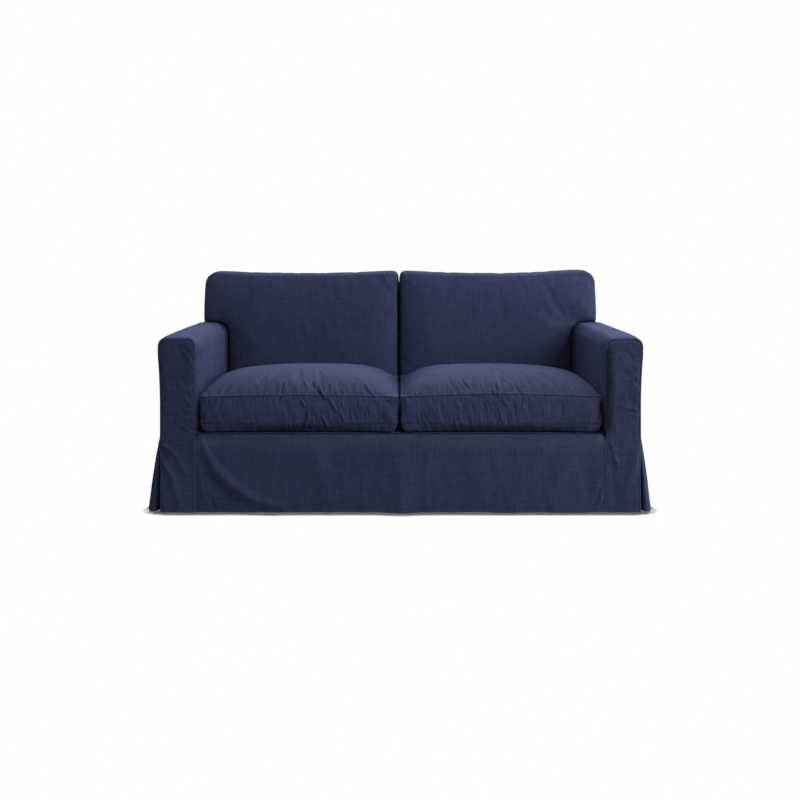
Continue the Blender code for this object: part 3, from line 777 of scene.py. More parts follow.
def arm_inside(side_name, finish, sewing):
    """The panel up an arm's inner face and over its top, in one piece."""
    side = SIDES[side_name]
    arm = ARM_SIDES[side_name]
    low = DECK_TOP - 0.010
    turn = ARM_TOP - arm.inner_corner
    girth = [("face", z) for z in pitched(low, turn, SIDE_PITCH)]
    girth += [("inner", share) for share in steps(0.0, 1.0, 12)[1:]]
    girth += [("crest", share) for share in steps(0.0, 1.0, 9)[1:-1]]
    girth += [("outer", share) for share in steps(0.0, 1.0, 10)]
    girth += [("seam", share) for share in steps(0.0, 1.0, 2)[1:]]
    front = FRONT_Y + JOIN
    rear = INSIDE_BACK_Y - SEAM_GAP
    depths = [front + step for step in SEAM_STEPS] + pitched(front + SEAM_STEPS[-1], rear, SIDE_PITCH)[1:]
    cushion_front = FRONT_Y + BACK_FRONT
    pressed = cushion_front + BACK_CROWN + 0.015

    def place(y, section):
        kind, share = section
        inner = ARM_EDGE + (arm.inner_corner - ARM_EDGE) * ramp(y, front, front + 0.12)
        corner = ARM_CORNER + (ARM_REAR_CORNER - ARM_CORNER) * ramp(y, front, front + 0.15)
        swell = ramp(y, front, front + 0.05) * ramp(y, pressed, pressed - 0.045)
        top = ARM_TOP + ARM_SWELL * swell
        outer = side_half(OUTER_SEAM)
        if kind == "face":
            x, z = INNER_HALF, low + (top - inner - low) * (share - low) / (turn - low)
        elif kind == "inner":
            x, z = arc(INNER_HALF + inner, top - inner, inner, 180 - 90 * share)
        elif kind == "crest":
            x = INNER_HALF + inner + (outer - corner - INNER_HALF - inner) * share
            z = top + ARM_DOME * swell * math.sin(math.pi * share)
        elif kind == "outer":
            x, z = arc(outer - corner, top - corner, corner, 90 - 90 * share)
        else:
            x, z = outer, top - corner + (OUTER_SEAM + SEAM_GAP - top + corner) * share
        y += (edge_roll(side_name, x) - OUTER_ROLL) * ramp(y, front + 0.03, front)
        return side * x, y, z

    piece = lay_panel(f"arm_inside_cloth_{side_name}", depths, girth, place, finish, flip=side > 0)
    points = read_points(piece.data)
    x, y, z = side * points[:, 0], points[:, 1], points[:, 2]
    upper = ramp(z, turn, turn + 0.02)
    loose = waves(points, (0.0010, (0.12, 0.12, 0.10), 5 + side), (0.0004, (0.03, 0.03, 0.03), 6 + side))
    height = (loose - 0.0010) * ramp(y, front, front + 0.03) * ramp(z, DECK_TOP + 0.02, DECK_TOP + 0.07)
    height += seam_relief(y - front, points, sewing, 7 + side) * (0.3 + 0.7 * upper)
    distance = y - front - edge_roll(side_name, x) + OUTER_ROLL
    height -= unrolled(side_name, x, distance)
    rubbed_and_lit, stitched = seam_masks(distance)
    # The welt's wear and painted highlight, and painted light on the left arm's top
    rubbed_and_lit = rubbed_and_lit * upper + ARM_TOP_PAINTED_LIGHT[side_name] * ramp(z, 0.60, 0.65)
    # Painted shade on the inner face: all over, behind its front edge, beside the seats and below the top
    by_front = np.exp(-np.maximum(distance, 0.0) / arm.edge_reach)
    shaded = (arm.face_shade + arm.edge_shade * by_front) * (1.0 - upper)
    shaded += ARM_LOW_SHADE * ramp(z, SEAT_SEAM + 0.03, SEAT_SEAM - 0.03)
    shaded += ARM_FACE_SHADE * ramp(z, 0.60, 0.45)
    # Painted shadow on the arm behind the back cushions' fronts
    hidden = ramp(y, cushion_front - 0.042, cushion_front - 0.027)
    shaded += ARM_HIDDEN_SHADE * hidden * ramp(x, CUSHION_END + 0.005, CUSHION_END - 0.005)
    finish_panel(piece, f"arm_inside_{side_name}", height, rubbed_and_lit, stitched * upper + shaded)


def pleat_point(way):
    """Where the pleat's cloth runs at the hem, softly through its points."""
    for index in range(len(PLEAT) - 1):
        here, after = PLEAT[index], PLEAT[index + 1]
        if way <= after.way:
            before = PLEAT[max(index - 1, 0)]
            beyond = PLEAT[min(index + 2, len(PLEAT) - 1)]
            share = (way - here.way) / (after.way - here.way)
            weights = (
                -0.5 * share + share**2 - 0.5 * share**3,
                1.0 - 2.5 * share**2 + 1.5 * share**3,
                0.5 * share + 2.0 * share**2 - 1.5 * share**3,
                -0.5 * share**2 + 0.5 * share**3,
            )
            run = (before, here, after, beyond)
            out = sum(weight * point.out for weight, point in zip(weights, run))
            behind = sum(weight * point.behind for weight, point in zip(weights, run))
            return out, behind
    return PLEAT[-1].out, PLEAT[-1].behind


def arm_outside(side_name, finish, sewing):
    """The panel down an arm's outer side, with a kick pleat turned in at its front and back."""
    side = SIDES[side_name]
    flare = ARM_SIDES[side_name].flare
    rows = above_hem(OUTER_SEAM - SEAM_STEPS[-1], SIDE_PITCH)
    rows += [OUTER_SEAM - step for step in reversed(SEAM_STEPS)][1:]
    # Stations run round the front pleat (0 to 1), along the side (1 to 2) and round the back pleat (2 to 3)
    half = steps(0.0, 1.0, 30) + [1.0 + 0.5 * share**1.3 for share in steps(0.0, 1.0, 52)][1:]
    stations = half + [3.0 - station for station in reversed(half[:-1])]
    front = FRONT_Y + JOIN
    back = BACK_Y - JOIN

    def place(station, z):
        opened = slit(z)
        flared = opened**PLEAT_EASE * flare
        mirrored = station > 1.5
        way = 3.0 - station if mirrored else station
        if way < 1.0:
            out, behind = pleat_point(way)
            depth = PLEAT_LEAD * way * (1.0 - opened) + behind * opened
        else:
            reach = way - 1.0
            lead = PLEAT_LEAD + (PLEAT[-1].behind - PLEAT_LEAD) * opened
            depth = lead + (COVER_DEPTH - 2 * JOIN - 2 * lead) * reach
            out = HEM_FLARE + (PLEAT_FLARE - HEM_FLARE) * bell(reach, 0.0, 0.13)
        x = side_half(z) + out * flared
        y = back - depth if mirrored else front + depth
        curl = HEM_CURL * bell(way, 0.93, 0.10) * max(0.0, 1.0 - z / 0.05)
        return side * x, y, z + curl

    piece = lay_panel(f"arm_outside_cloth_{side_name}", stations, rows, place, finish, flip=side < 0)
    above = read_points(piece.data)[:, 2]
    lift_hem(piece, 62 + side)
    points = read_points(piece.data)
    y, z = points[:, 1], points[:, 2]
    distance = OUTER_SEAM - z
    ends = ramp(y, front + 0.02, front + 0.07) * ramp(y, back - 0.02, back - 0.07)
    height = 0.0022 * ripples(points, (0.10, 0.10, 0.30), 9 + side) * ends
    height += 0.0006 * ripples(points, (0.03, 0.03, 0.09), 10 + side)
    height *= ramp(distance, 0.0, 0.02)
    height += 0.004 * ripples(points, (0.09, 0.11, 0.60), 11 + side) * slit(z) * ends
    height += seam_relief(distance, points, sewing, 12 + side) + hem(above, sewing.hem_rise)
    finish_panel(piece, f"arm_outside_{side_name}", height, *seam_masks(distance))


def deck_height(y):
    """Height of the deck, which the cushions press down just behind the rail's edge."""
    depth = y - FRONT_Y
    return DECK_TOP - DECK_DIP * ramp(depth, RAIL_CORNER, RAIL_CORNER + 0.018) * ramp(depth, 0.12, 0.05)


def front_rail(finish, sewing):
    """The panel from the deck's front edge to the hem, with its ridge and creases."""
    half = INNER_HALF - SEAM_GAP
    columns = [TURNED] + between_seams(-half, half, PANEL_PITCH) + [-TURNED]
    rows = [(0.0, z) for z in above_hem(DECK_TOP - RAIL_CORNER, PANEL_PITCH)]
    for angle in steps(180.0, 90.0, 8)[1:]:
        rows.append(arc(RAIL_CORNER, DECK_TOP - RAIL_CORNER, RAIL_CORNER, angle))
    rows += [(depth, deck_height(FRONT_Y + depth)) for depth in pitched(RAIL_CORNER, RAIL_LAP, 0.003)[1:]]

    def place(x, row):
        depth, z = row
        if abs(x) > half:
            x = math.copysign(half, x)
            depth += ALLOWANCE * ramp(z, DECK_TOP - 0.012, DECK_TOP - 0.032)
        crease = FRONT_CREASE * slit(z) * max(0.0, 1.0 - abs(x) / 0.16) ** 2.2
        x *= (rail_seam(z) - SEAM_GAP) / half
        return x, FRONT_Y + depth - crease - SKIRT_LEAN * slit(z), z

    piece = lay_panel("front_rail_cloth", columns, rows, place, finish)
    above = read_points(piece.data)[:, 2]
    lift_hem(piece, 64)
    points = read_points(piece.data)
    x, z = points[:, 0], points[:, 2]
    distance = rail_seam(z) - SEAM_GAP - np.abs(x)
    height = relief(RAIL_CREASES, x, z) * ramp(distance, 0.0, 0.012)
    height += relief(scattered(RAIL_PUCKERS), x, z) * ramp(distance, 0.0, 0.005)
    height += waves(points, (0.0014, (0.08, 0.08, 0.35), 15), (0.0005, (0.02, 0.02, 0.09), 16))
    height *= ramp(z, DECK_TOP - 0.010, DECK_TOP - 0.060)
    height += 0.0016 * ripples(points, (0.05, 0.05, 0.40), 17) * slit(z) ** 2
    height += seam_relief(distance, points, sewing, 18) + hem(above, sewing.hem_rise)
    corner = ramp(np.abs(x), INNER_HALF - 0.032, INNER_HALF) * ramp(z, DECK_TOP - 0.035, DECK_TOP)
    height -= RAIL_END_SINK * corner
    rubbed_and_lit, stitched = seam_masks(distance)
    # The welts' and hem's wear and painted highlights, and painted light on the rail's top
    rubbed_and_lit = RAIL_WELT_WEAR_AND_HIGHLIGHT * rubbed_and_lit * (z < DECK_TOP - 0.010) + hem_wear_and_highlight(above)
    rubbed_and_lit += RAIL_TOP_PAINTED_LIGHT * ramp(z, DECK_TOP - 0.08, DECK_TOP - 0.03)
    # Painted shadow on the ledge under the cushions, and painted shade in the rail's upper corners
    shaded = RAIL_LEDGE_SHADE * ramp(z, DECK_TOP - 0.008, DECK_TOP - 0.001) + RAIL_END_SHADE * corner**2
    finish_panel(piece, "front_rail", height, rubbed_and_lit, stitched + shaded)


def seat_deck(finish):
    """The flat panel under the seat cushions."""
    half = INNER_HALF - SEAM_GAP
    columns = pitched(-half, half, 0.02)
    rows = pitched(FRONT_Y + RAIL_LAP + SEAM_GAP, INSIDE_BACK_Y - SEAM_GAP, 0.02)
    piece = lay_panel("seat_deck_cloth", columns, rows, lambda x, y: (x, y, deck_height(y)), finish)
    points = read_points(piece.data)
    rim = box_depth(points[:, 0], points[:, 1], (-half, rows[0]), (half, rows[-1]), 0.0)
    sink = 0.0006 * (ripples(points, (0.05, 0.05, 0.05), 20) - 1.0) * ramp(rim, 0.0, 0.04)
    unworn = np.zeros(len(points))
    finish_panel(piece, "seat_deck", sink, unworn, unworn)


def back_outline(z):
    """Half width of the back at a height, rounded at its top corners."""
    rise = max(0.0, z - (BACK_TOP - BACK_CORNER))
    return BACK_HALF - (BACK_CORNER - math.sqrt(max(BACK_CORNER**2 - rise**2, 0.0)))


def up_to_corner(low, high, pitch):
    """Heights up to the back's top, closer round its corners."""
    start = high - BACK_CORNER
    turn = [start + BACK_CORNER * math.sin(math.radians(angle)) for angle in steps(0.0, 90.0, 14)]
    return pitched(low, start, pitch)[:-1] + turn


def inside_back(finish, sewing):
    """The T-shaped panel behind the back cushions, its ends over the arms."""
    seat_half = INNER_HALF - SEAM_GAP
    ledge = ARM_TOP + SEAM_GAP
    end = pitched(seat_half, BACK_HALF, 0.012)
    columns = [-x for x in reversed(end)] + pitched(-seat_half, seat_half, 0.025)[1:-1] + end
    rows = pitched(DECK_TOP - 0.010, ledge, 0.03)[:-1] + up_to_corner(ledge, BACK_TOP, 0.012)

    def place(x, z):
        if abs(x) > seat_half:
            shrink = (back_outline(z) - seat_half) / (BACK_HALF - seat_half)
            x = math.copysign(seat_half + (abs(x) - seat_half) * shrink, x)
        return x, INSIDE_BACK_Y, z

    def unwanted(column, row):
        return row < ledge and (column < -seat_half or column >= seat_half)

    piece = lay_panel("inside_back_cloth", columns, rows, place, finish, unwanted=unwanted)
    points = read_points(piece.data)
    x, z = points[:, 0], points[:, 2]
    distance = box_depth(x, z, (-BACK_HALF, -1.0), (BACK_HALF, BACK_TOP), BACK_CORNER)
    height = -0.0012 * ramp(distance, 0.0, 0.03) * (1.0 + ripples(points, (0.1, 0.1, 0.1), 22))
    height += seam_relief(distance, points, sewing, 23)
    finish_panel(piece, "inside_back", height, *seam_masks(distance))


def back_border(finish, sewing):
    """The strip up one end of the back, over its top and down the other end."""
    corner_x = BACK_HALF - BACK_CORNER
    corner_z = BACK_TOP - BACK_CORNER
    path = [(BACK_HALF, z) for z in pitched(OUTER_SEAM + SEAM_GAP, corner_z, 0.01)[:-1]]
    path += [arc(corner_x, corner_z, BACK_CORNER, angle) for angle in steps(0.0, 90.0, 12)]
    path += [(x, BACK_TOP) for x in reversed(pitched(0.0, corner_x, 0.012)[:-1])]
    path += [(-x, z) for x, z in reversed(path[:-1])]
    low = INSIDE_BACK_Y + JOIN
    high = BACK_Y - JOIN
    depths = between_seams(low, high, 0.012)
    piece = lay_panel("back_border_cloth", depths, path, lambda y, at: (at[0], y, at[1]), finish)
    points = read_points(piece.data)
    distance = np.minimum(points[:, 1] - low, high - points[:, 1])
    height = 0.0010 * ramp(distance, 0.0, 0.03) * (ripples(points, (0.08, 0.08, 0.08), 25) - 1.0)
    height += seam_relief(distance, points, sewing, 26) - 0.001
    finish_panel(piece, "back_border", height, *seam_masks(distance))


def outside_back(finish, sewing):
    """The panel from the back's top to the hem."""
    wide = 2 * ARM_HALF
    across = [2.0 * step / wide - 1.0 for step in between_seams(0.0, wide, REAR_PITCH)]
    rows = above_hem(OUTER_SEAM, SIDE_PITCH) + up_to_corner(OUTER_SEAM, BACK_TOP, SIDE_PITCH)[1:]

    def place(share, z):
        half = back_outline(z) if z > OUTER_SEAM else side_half(z)
        crease = 0.006 * slit(z) * math.cos(3 * math.pi * share) ** 2
        return half * share, BACK_Y + crease + SKIRT_LEAN * slit(z), z

    piece = lay_panel("outside_back_cloth", across, rows, place, finish, flip=True)
    above = read_points(piece.data)[:, 2]
    lift_hem(piece, 65)
    points = read_points(piece.data)
    x, z = points[:, 0], points[:, 2]
    half = np.where(z > OUTER_SEAM, BACK_HALF, side_half(z))
    distance = box_depth(x, z, (-half, -1.0), (half, BACK_TOP), BACK_CORNER)
    height = waves(points, (0.0020, (0.14, 0.14, 0.45), 28), (0.0006, (0.03, 0.03, 0.08), 29))
    height += 0.0030 * ripples(points, (0.08, 0.08, 0.60), 30) * slit(z)
    height *= ramp(distance, 0.0, 0.02)
    height += seam_relief(distance, points, sewing, 31) + hem(above, sewing.hem_rise) - 0.001
    finish_panel(piece, "outside_back", height, *seam_masks(distance))


# ---------------------------------------------------------------- cushions


def in_order(grid, numbers):
    """Rebuild a grid with its vertices and faces in one fixed order, so that every run stuffs it alike."""
    faces = []
    for face in grid.faces:
        corners = [numbers[vertex] for vertex in face.verts]
        start = corners.index(min(corners))
        faces.append(corners[start:] + corners[:start])
    ordered = bmesh.new()
    verts = [ordered.verts.new(vertex.co) for vertex in sorted(grid.verts, key=numbers.get)]
    for corners in sorted(faces):
        ordered.faces.new([verts[number] for number in corners])
    grid.free()
    return ordered


def lay_slab(name, columns, rows, layers, place, finish, unwanted=None):
    """A filled cushion's skin, laid through place(column, row, layer, rim), which gives a point and its
    distance from the nearest seam: above zero on its faces, below zero on its boxing."""
    grid = index_grid(len(columns) - 1, len(rows) - 1)
    if unwanted:
        cut_away(grid, lambda i, j: unwanted(columns[int(i)], rows[int(j)]))
    faces = list(grid.faces)
    for level in range(1, len(layers)):
        raised = bmesh.ops.extrude_face_region(grid, geom=faces)["geom"]
        if level > 1:
            bmesh.ops.delete(grid, geom=faces, context="FACES")
        verts = [item for item in raised if isinstance(item, bmesh.types.BMVert)]
        faces = [item for item in raised if isinstance(item, bmesh.types.BMFace)]
        bmesh.ops.translate(grid, verts=verts, vec=(0.0, 0.0, 1.0))
    bmesh.ops.recalc_face_normals(grid, faces=grid.faces)
    rim = {vertex for vertex in grid.verts if any(abs(face.normal.z) < 0.5 for face in vertex.link_faces)}
    numbers = {}
    distances = []
    for vertex in sorted(grid.verts, key=lambda vertex: tuple(vertex.co)):
        numbers[vertex] = len(numbers)
        column, row, layer = (round(value) for value in vertex.co)
        vertex.co, distance = place(columns[column], rows[row], layers[layer], vertex in rim)
        distances.append(distance)
    if grid.calc_volume(signed=True) < 0.0:
        bmesh.ops.reverse_faces(grid, faces=grid.faces)
    piece = to_object(name, in_order(grid, numbers), finish)
    set_mask(piece.data, "seam_distance", distances)
    return piece


def spread_out(mesh, values, rounds):
    """Average each vertex's values with its neighbours', a number of times."""
    ends = np.empty(len(mesh.edges) * 2, dtype=np.int32)
    mesh.edges.foreach_get("vertices", ends)
    first, second = ends.reshape(-1, 2).T
    start, other = np.concatenate((first, second)), np.concatenate((second, first))
    count = len(mesh.vertices)
    share = 0.5 / np.bincount(start, minlength=count)
    for _ in range(rounds):
        sums = [np.bincount(start, weights=values[other, axis], minlength=count) for axis in range(3)]
        values = 0.5 * values + np.stack(sums, axis=1) * share[:, None]
    return values


def stuff(pieces, stuffing):
    """Let the filling push the cloth of each piece out, and keep a share of the wrinkles that it leaves.

    The even swelling is taken off again, since the piece already has its full form.
    """
    scene = bpy.context.scene
    starts = {}
    for piece in pieces:
        mesh = piece.data
        starts[piece] = read_points(mesh)
        sewn = piece.vertex_groups.new(name="sewn")
        for index, distance in enumerate(read_mask(mesh, "seam_distance")):
            if abs(distance) < 0.001:
                sewn.add([index], 1.0, "REPLACE")
        inside = smooth(np.abs(read_mask(mesh, "seam_distance")) / 0.03)[:, None]
        write_points(mesh, starts[piece] - read_normals(mesh) * stuffing.slack * inside)
        cloth = piece.modifiers.new("Stuffing", "CLOTH")
        cloth.point_cache.frame_start = 1
        cloth.point_cache.frame_end = STUFFING_FRAMES
        settings = cloth.settings
        settings.quality = 5
        settings.mass = 0.3
        settings.tension_stiffness = 25
        settings.compression_stiffness = 20
        settings.shear_stiffness = 10
        settings.bending_stiffness = 0.8
        settings.effector_weights.gravity = 0.0
        settings.use_pressure = True
        settings.uniform_pressure_force = stuffing.pressure
        settings.vertex_group_shrink = "sewn"
        settings.shrink_min = -stuffing.gather
        settings.shrink_max = 0.0
        settings.vertex_group_mass = "sewn"
        settings.pin_stiffness = 1.0
    for number in range(1, STUFFING_FRAMES + 1):
        scene.frame_set(number)
    graph = bpy.context.evaluated_depsgraph_get()
    for piece, share in pieces.items():
        stuffed = read_points(piece.evaluated_get(graph).data)
        moved = stuffed - starts[piece]
        moved -= spread_out(piece.data, moved, SWELLING_ROUNDS)
        far = np.linalg.norm(moved, axis=1, keepdims=True)
        moved *= share * np.minimum(1.0, stuffing.cap / np.maximum(far, 1e-9))
        piece.modifiers.remove(piece.modifiers["Stuffing"])
        piece.vertex_groups.clear()
        write_points(piece.data, starts[piece] + moved)
    scene.frame_set(1)


def refine(piece):
    """Subdivide a piece's mesh once and keep the result."""
    finer = piece.modifiers.new("Finer", "SUBSURF")
    finer.levels = 1
    finer.render_levels = 1
    graph = bpy.context.evaluated_depsgraph_get()
    mesh = bpy.data.meshes.new_from_object(piece.evaluated_get(graph))
    piece.modifiers.remove(finer)
    piece.data = mesh
    mesh.shade_smooth()


def cushion_seams(piece, points, sewing, seed):
    """Height of a cushion's welts and of the puckers beside them, then where its ridges and grooves lie."""
    distance = read_mask(piece.data, "seam_distance")
    away = np.abs(distance)
    pucker = 1.6 * ripples(points, (0.008, 0.008, 0.008), seed) * np.exp(-away / 0.014)
    pucker *= ramp(away, 0.0, 0.003)
    ridge = bell(distance, 0.0020, 0.0024)
    groove = bell(distance, -0.0016, 0.0018)
    height = sewing.welt_rise * (ridge - 1.4 * groove) + sewing.pucker_rise * pucker
    return height, ridge, groove


def keep_inside(points, node):
    """Hold points inside a node's box, but for a little to spare."""
    low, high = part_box(node)
    return np.clip(points, np.array(low) - CUSHION_SPARE, np.array(high) + CUSHION_SPARE)


def clear_of_arm(points, radius):
    """Push points out of an arm's rounded inner top edge."""
    side = np.sign(points[:, 0])
    off_x = np.minimum(np.abs(points[:, 0]) - INNER_HALF - radius, 0.0)
    off_z = np.maximum(points[:, 2] - ARM_TOP + radius, 0.0)
    far = np.maximum(np.hypot(off_x, off_z), 1e-6)
    beside = (np.abs(points[:, 0]) > INNER_HALF - CLEARANCE) & (points[:, 2] < ARM_TOP + CLEARANCE)
    grow = np.where(beside, np.maximum((radius + CLEARANCE) / far, 1.0) - 1.0, 0.0)
    points[:, 0] += side * off_x * grow
    points[:, 2] += off_z * grow
    return points


def rectangle_to_round(x, y, half_x, half_y, radius):
    """Move a point of a rectangle so that the rectangle's corners become round."""
    past_x = abs(x) - (half_x - radius)
    past_y = abs(y) - (half_y - radius)
    if past_x > 0.0 and past_y > 0.0:
        shrink = max(past_x, past_y) / math.hypot(past_x, past_y)
        x = math.copysign(half_x - radius + past_x * shrink, x)
        y = math.copysign(half_y - radius + past_y * shrink, y)
    return x, y


def drift(x, most):
    """Sideways shift near the gap between two cushions, fading away from it."""
    return most * (1.0 - smooth(abs(x) / 0.35))


def seat_profile(depth):
    """The crown's share at a distance behind the arm fronts."""
    if depth < SEAT_CREST:
        return math.sqrt(max(0.0, 1.0 - ((SEAT_CREST - depth) / (SEAT_CREST - SEAT_FRONT)) ** 2.4))
    return math.sqrt(max(0.0, 1.0 - ((depth - SEAT_CREST) / (SEAT_REAR - SEAT_CREST)) ** 1.8))


def face_stations(low, high, pitch, fine=EDGE_STEPS):
    """Stations over a cushion's face, with narrow cells inside each seam."""
    middle = pitched(low + fine[-1], high - fine[-1], pitch)[1:-1]
    return [low + step for step in fine] + middle + [high - step for step in reversed(fine)]


def boxing_stations(wide, bulge):
    """Stations over a cushion's boxing, from seam to seam: how far it bulges, and the distance."""
    stations = [*EDGE_STEPS, *pitched(0.020, wide - 0.010, CUSHION_PITCH), wide - 0.004, wide]
    return [(bulge * math.sin(math.pi * at / wide) ** 0.8 if 0.0 < at < wide else 0.0, at) for at in stations]


def seat_cushion(side_name, finish):
    """A boxed cushion with a high crown, its crest forward of the middle."""
    side = SIDES[side_name]
    seat = SEAT_SIDES[side_name]
    half_x = (INNER_HALF - SEAT_SIDE_GAP - SEAT_CENTRE_GAP / 2) / 2 - SEAT_BULGE
    middle_x = SEAT_CENTRE_GAP / 2 + half_x + SEAT_BULGE
    half_y = (SEAT_REAR - SEAT_FRONT) / 2
    middle_y = FRONT_Y + (SEAT_REAR + SEAT_FRONT) / 2
    floor = DECK_TOP + SEAM_GAP
    # (outward offset, height) of each layer from the bottom to the top seam
    layers = [(-0.005, floor), (-0.0012, floor + 0.001), (0.0, floor + 0.0035), (0.0015, floor + 0.011)]
    boxing = SEAT_SEAM - SEAT_LOWER_SEAM
    layers += [(out, SEAT_LOWER_SEAM + rise) for out, rise in boxing_stations(boxing, SEAT_BULGE)]

    def place(x, y, layer, rim):
        offset, z = layer
        wide = half_x + offset - rounding(z - floor, SEAT_LOW_CORNER)
        deep = half_y + offset
        x, y = rectangle_to_round(x * wide / half_x, y * deep / half_y, wide, deep, SEAT_CORNER + offset)
        distance = -min(SEAT_SEAM - z, abs(z - SEAT_LOWER_SEAM))
        behind = smooth((y + half_y) / 0.12)
        arch = (1.0 - (x / half_x) ** 2) * np.clip((z - SEAT_LOWER_SEAM) / boxing, 0.0, 1.0) * (1.0 - behind)
        if layer == layers[-1] and not rim:
            power, edge = CROWN_SHAPE[x > 0.0]
            crown = max(0.0, 1.0 - (abs(x) / half_x) ** power) ** edge
            z += SEAT_CROWN * crown * seat_profile(middle_y + y - FRONT_Y)
            distance = min(half_x - abs(x), half_y - abs(y)) + z - SEAT_SEAM
        pressed = np.clip((SEAT_LOWER_SEAM - z) / (SEAT_LOWER_SEAM - floor), 0.0, 1.0)
        z += seat.arch * arch - pressed * (DECK_TOP - deck_height(middle_y + y))
        x -= seat.taper * max(0.0, x / half_x) ** 4 * (1.0 - behind)
        x = side * (middle_x + x)
        return Vector((x + drift(x, SEAT_DRIFT), middle_y + y, z)), distance

    columns = face_stations(-half_x, half_x, SEAT_PITCH, CROWN_STEPS)
    rows = face_stations(-half_y, half_y, CUSHION_PITCH, CROWN_STEPS)
    return lay_slab(f"seat_cushion_linen_{side_name}", columns, rows, layers, place, finish)


def finish_seat(piece, side_name, sewing):
    """Seams, puckers and creases of a seat cushion."""
    refine(piece)
    mesh = piece.data
    seat = SEAT_SIDES[side_name]
    points = read_points(mesh)
    x, y, z = points.T
    from_gap = np.abs(x)
    z -= END_DROP * bell(x, 0.0, 0.022) * np.maximum(z - SEAT_SEAM - 0.004, 0.0)
    droop = REAR_DROOP * ramp(from_gap, 0.10, 0.02) * ramp(y, FRONT_Y + 0.20, FRONT_Y + 0.45)
    z -= droop * ramp(z, SEAT_LOWER_SEAM, SEAT_SEAM)
    write_points(mesh, points)
    height, ridge, groove = cushion_seams(piece, points, sewing, 40 + SIDES[side_name])
    upper = 0.6 + 0.4 * ramp(z, 0.34, 0.37)
    crest = FRONT_Y + SEAT_CREST
    creased = SEAT_CREASING * relief(SEAT_CREASES[side_name], x, z)
    creased += relief(scattered(SEAT_PUCKERS[side_name]), x, z)
    height = height * upper + creased * ramp(y, crest - 0.02, crest - 0.08)
    height += waves(points, (0.0012, (0.09, 0.09, 0.07), 42), (0.0005, (0.025, 0.025, 0.04), 43))
    # Painted highlights on the welts, with their wear, most along the front, and painted light on the tops
    all_round, along_front = SEAT_WELT_WEAR_AND_HIGHLIGHT
    front_seam = ramp(y, FRONT_Y + SEAT_FRONT + 0.03, FRONT_Y + SEAT_FRONT + 0.01)
    rubbed_and_lit = (all_round + along_front * front_seam) * ridge * upper
    rubbed_and_lit += SEAT_TOP_PAINTED_LIGHT * ramp(z, SEAT_SEAM + 0.02, SEAT_SEAM + 0.09)
    outer_end = INNER_HALF - SEAT_SIDE_GAP - seat.taper
    normals = read_normals(mesh)
    on_boxing = z < SEAT_SEAM
    forward = ramp(-normals[:, 1], 0.5, 0.8) * on_boxing
    sideways = ramp(np.abs(normals[:, 0]), 0.6, 0.9) * on_boxing
    # Painted light on the front near the outer end
    rubbed_and_lit += seat.end_rub * bell(from_gap, outer_end, seat.rub_reach) * forward
    # Painted shade in the seams' grooves, with the seam line, on the boxing's ends, at the crown's inner end
    # and the rear inner corner, and a painted shadow at the foot
    shaded = SEAT_GROOVE_SHADE * groove * upper + SEAT_SIDE_SHADE * sideways
    shaded += seat.end_shade * ramp(from_gap, 0.05, 0.01) * (z > SEAT_SEAM)
    shaded += SEAT_REAR_SHADE * ramp(from_gap, 0.05, 0.02) * ramp(y, FRONT_Y + 0.40, FRONT_Y + 0.50)
    shaded += SEAT_FOOT_SHADE * ramp(z, DECK_TOP, DECK_TOP - 0.004)
    emboss(piece, height * ramp(z, DECK_TOP - 0.002, DECK_TOP + 0.003), rubbed_and_lit, shaded)
    write_points(mesh, keep_inside(read_points(mesh), f"seat_cushion_{side_name}"))
    declare(piece, f"seat_cushion_{side_name}")


def cushion_depth(x, z, sharpness=1.0):
    """Depth inside the back cushion's L-shaped outline; at a sharpness of 0 its corners are square."""
    far = 1.0
    low_x, low_z = CUSHION_START - far, NOTCH_Z - far
    high_x, high_z = CUSHION_END + far, CUSHION_TOP + far
    fillet = NOTCH_FILLET * sharpness
    low_corner = BACK_CORNER_LOW * sharpness
    body = box_depth(x, z, (low_x, CUSHION_FOOT), (NOTCH_X, high_z), low_corner)
    wing = box_depth(x, z, (low_x, NOTCH_Z), (CUSHION_END, high_z), low_corner)
    union = max(body, wing)
    if fillet > 0.0:
        mix = max(fillet - abs(body - wing), 0.0) / fillet
        union += mix * mix * fillet * 0.25 * (1.0 - smooth(union / 0.07))
    inner_corner, outer_corner = BACK_CORNER_INNER * sharpness, BACK_CORNER_OUTER * sharpness
    inner = box_depth(x, z, (CUSHION_START, CUSHION_FOOT), (high_x, CUSHION_TOP), inner_corner)
    outer = box_depth(x, z, (low_x, low_z), (CUSHION_END, CUSHION_TOP), outer_corner)
    return min(union, inner, outer)


def to_depth(x, z, depth):
    """Slide a point along the slope of cushion_depth until it lies at a depth."""
    nudge = 0.0005
    for _ in range(5):
        here = cushion_depth(x, z)
        if abs(depth - here) < 0.0001:
            break
        slope_x = (cushion_depth(x + nudge, z) - cushion_depth(x - nudge, z)) / (2 * nudge)
        slope_z = (cushion_depth(x, z + nudge) - cushion_depth(x, z - nudge)) / (2 * nudge)
        steep = max(slope_x**2 + slope_z**2, 0.25)
        x += (depth - here) * slope_x / steep
        z += (depth - here) * slope_z / steep
    return x, z


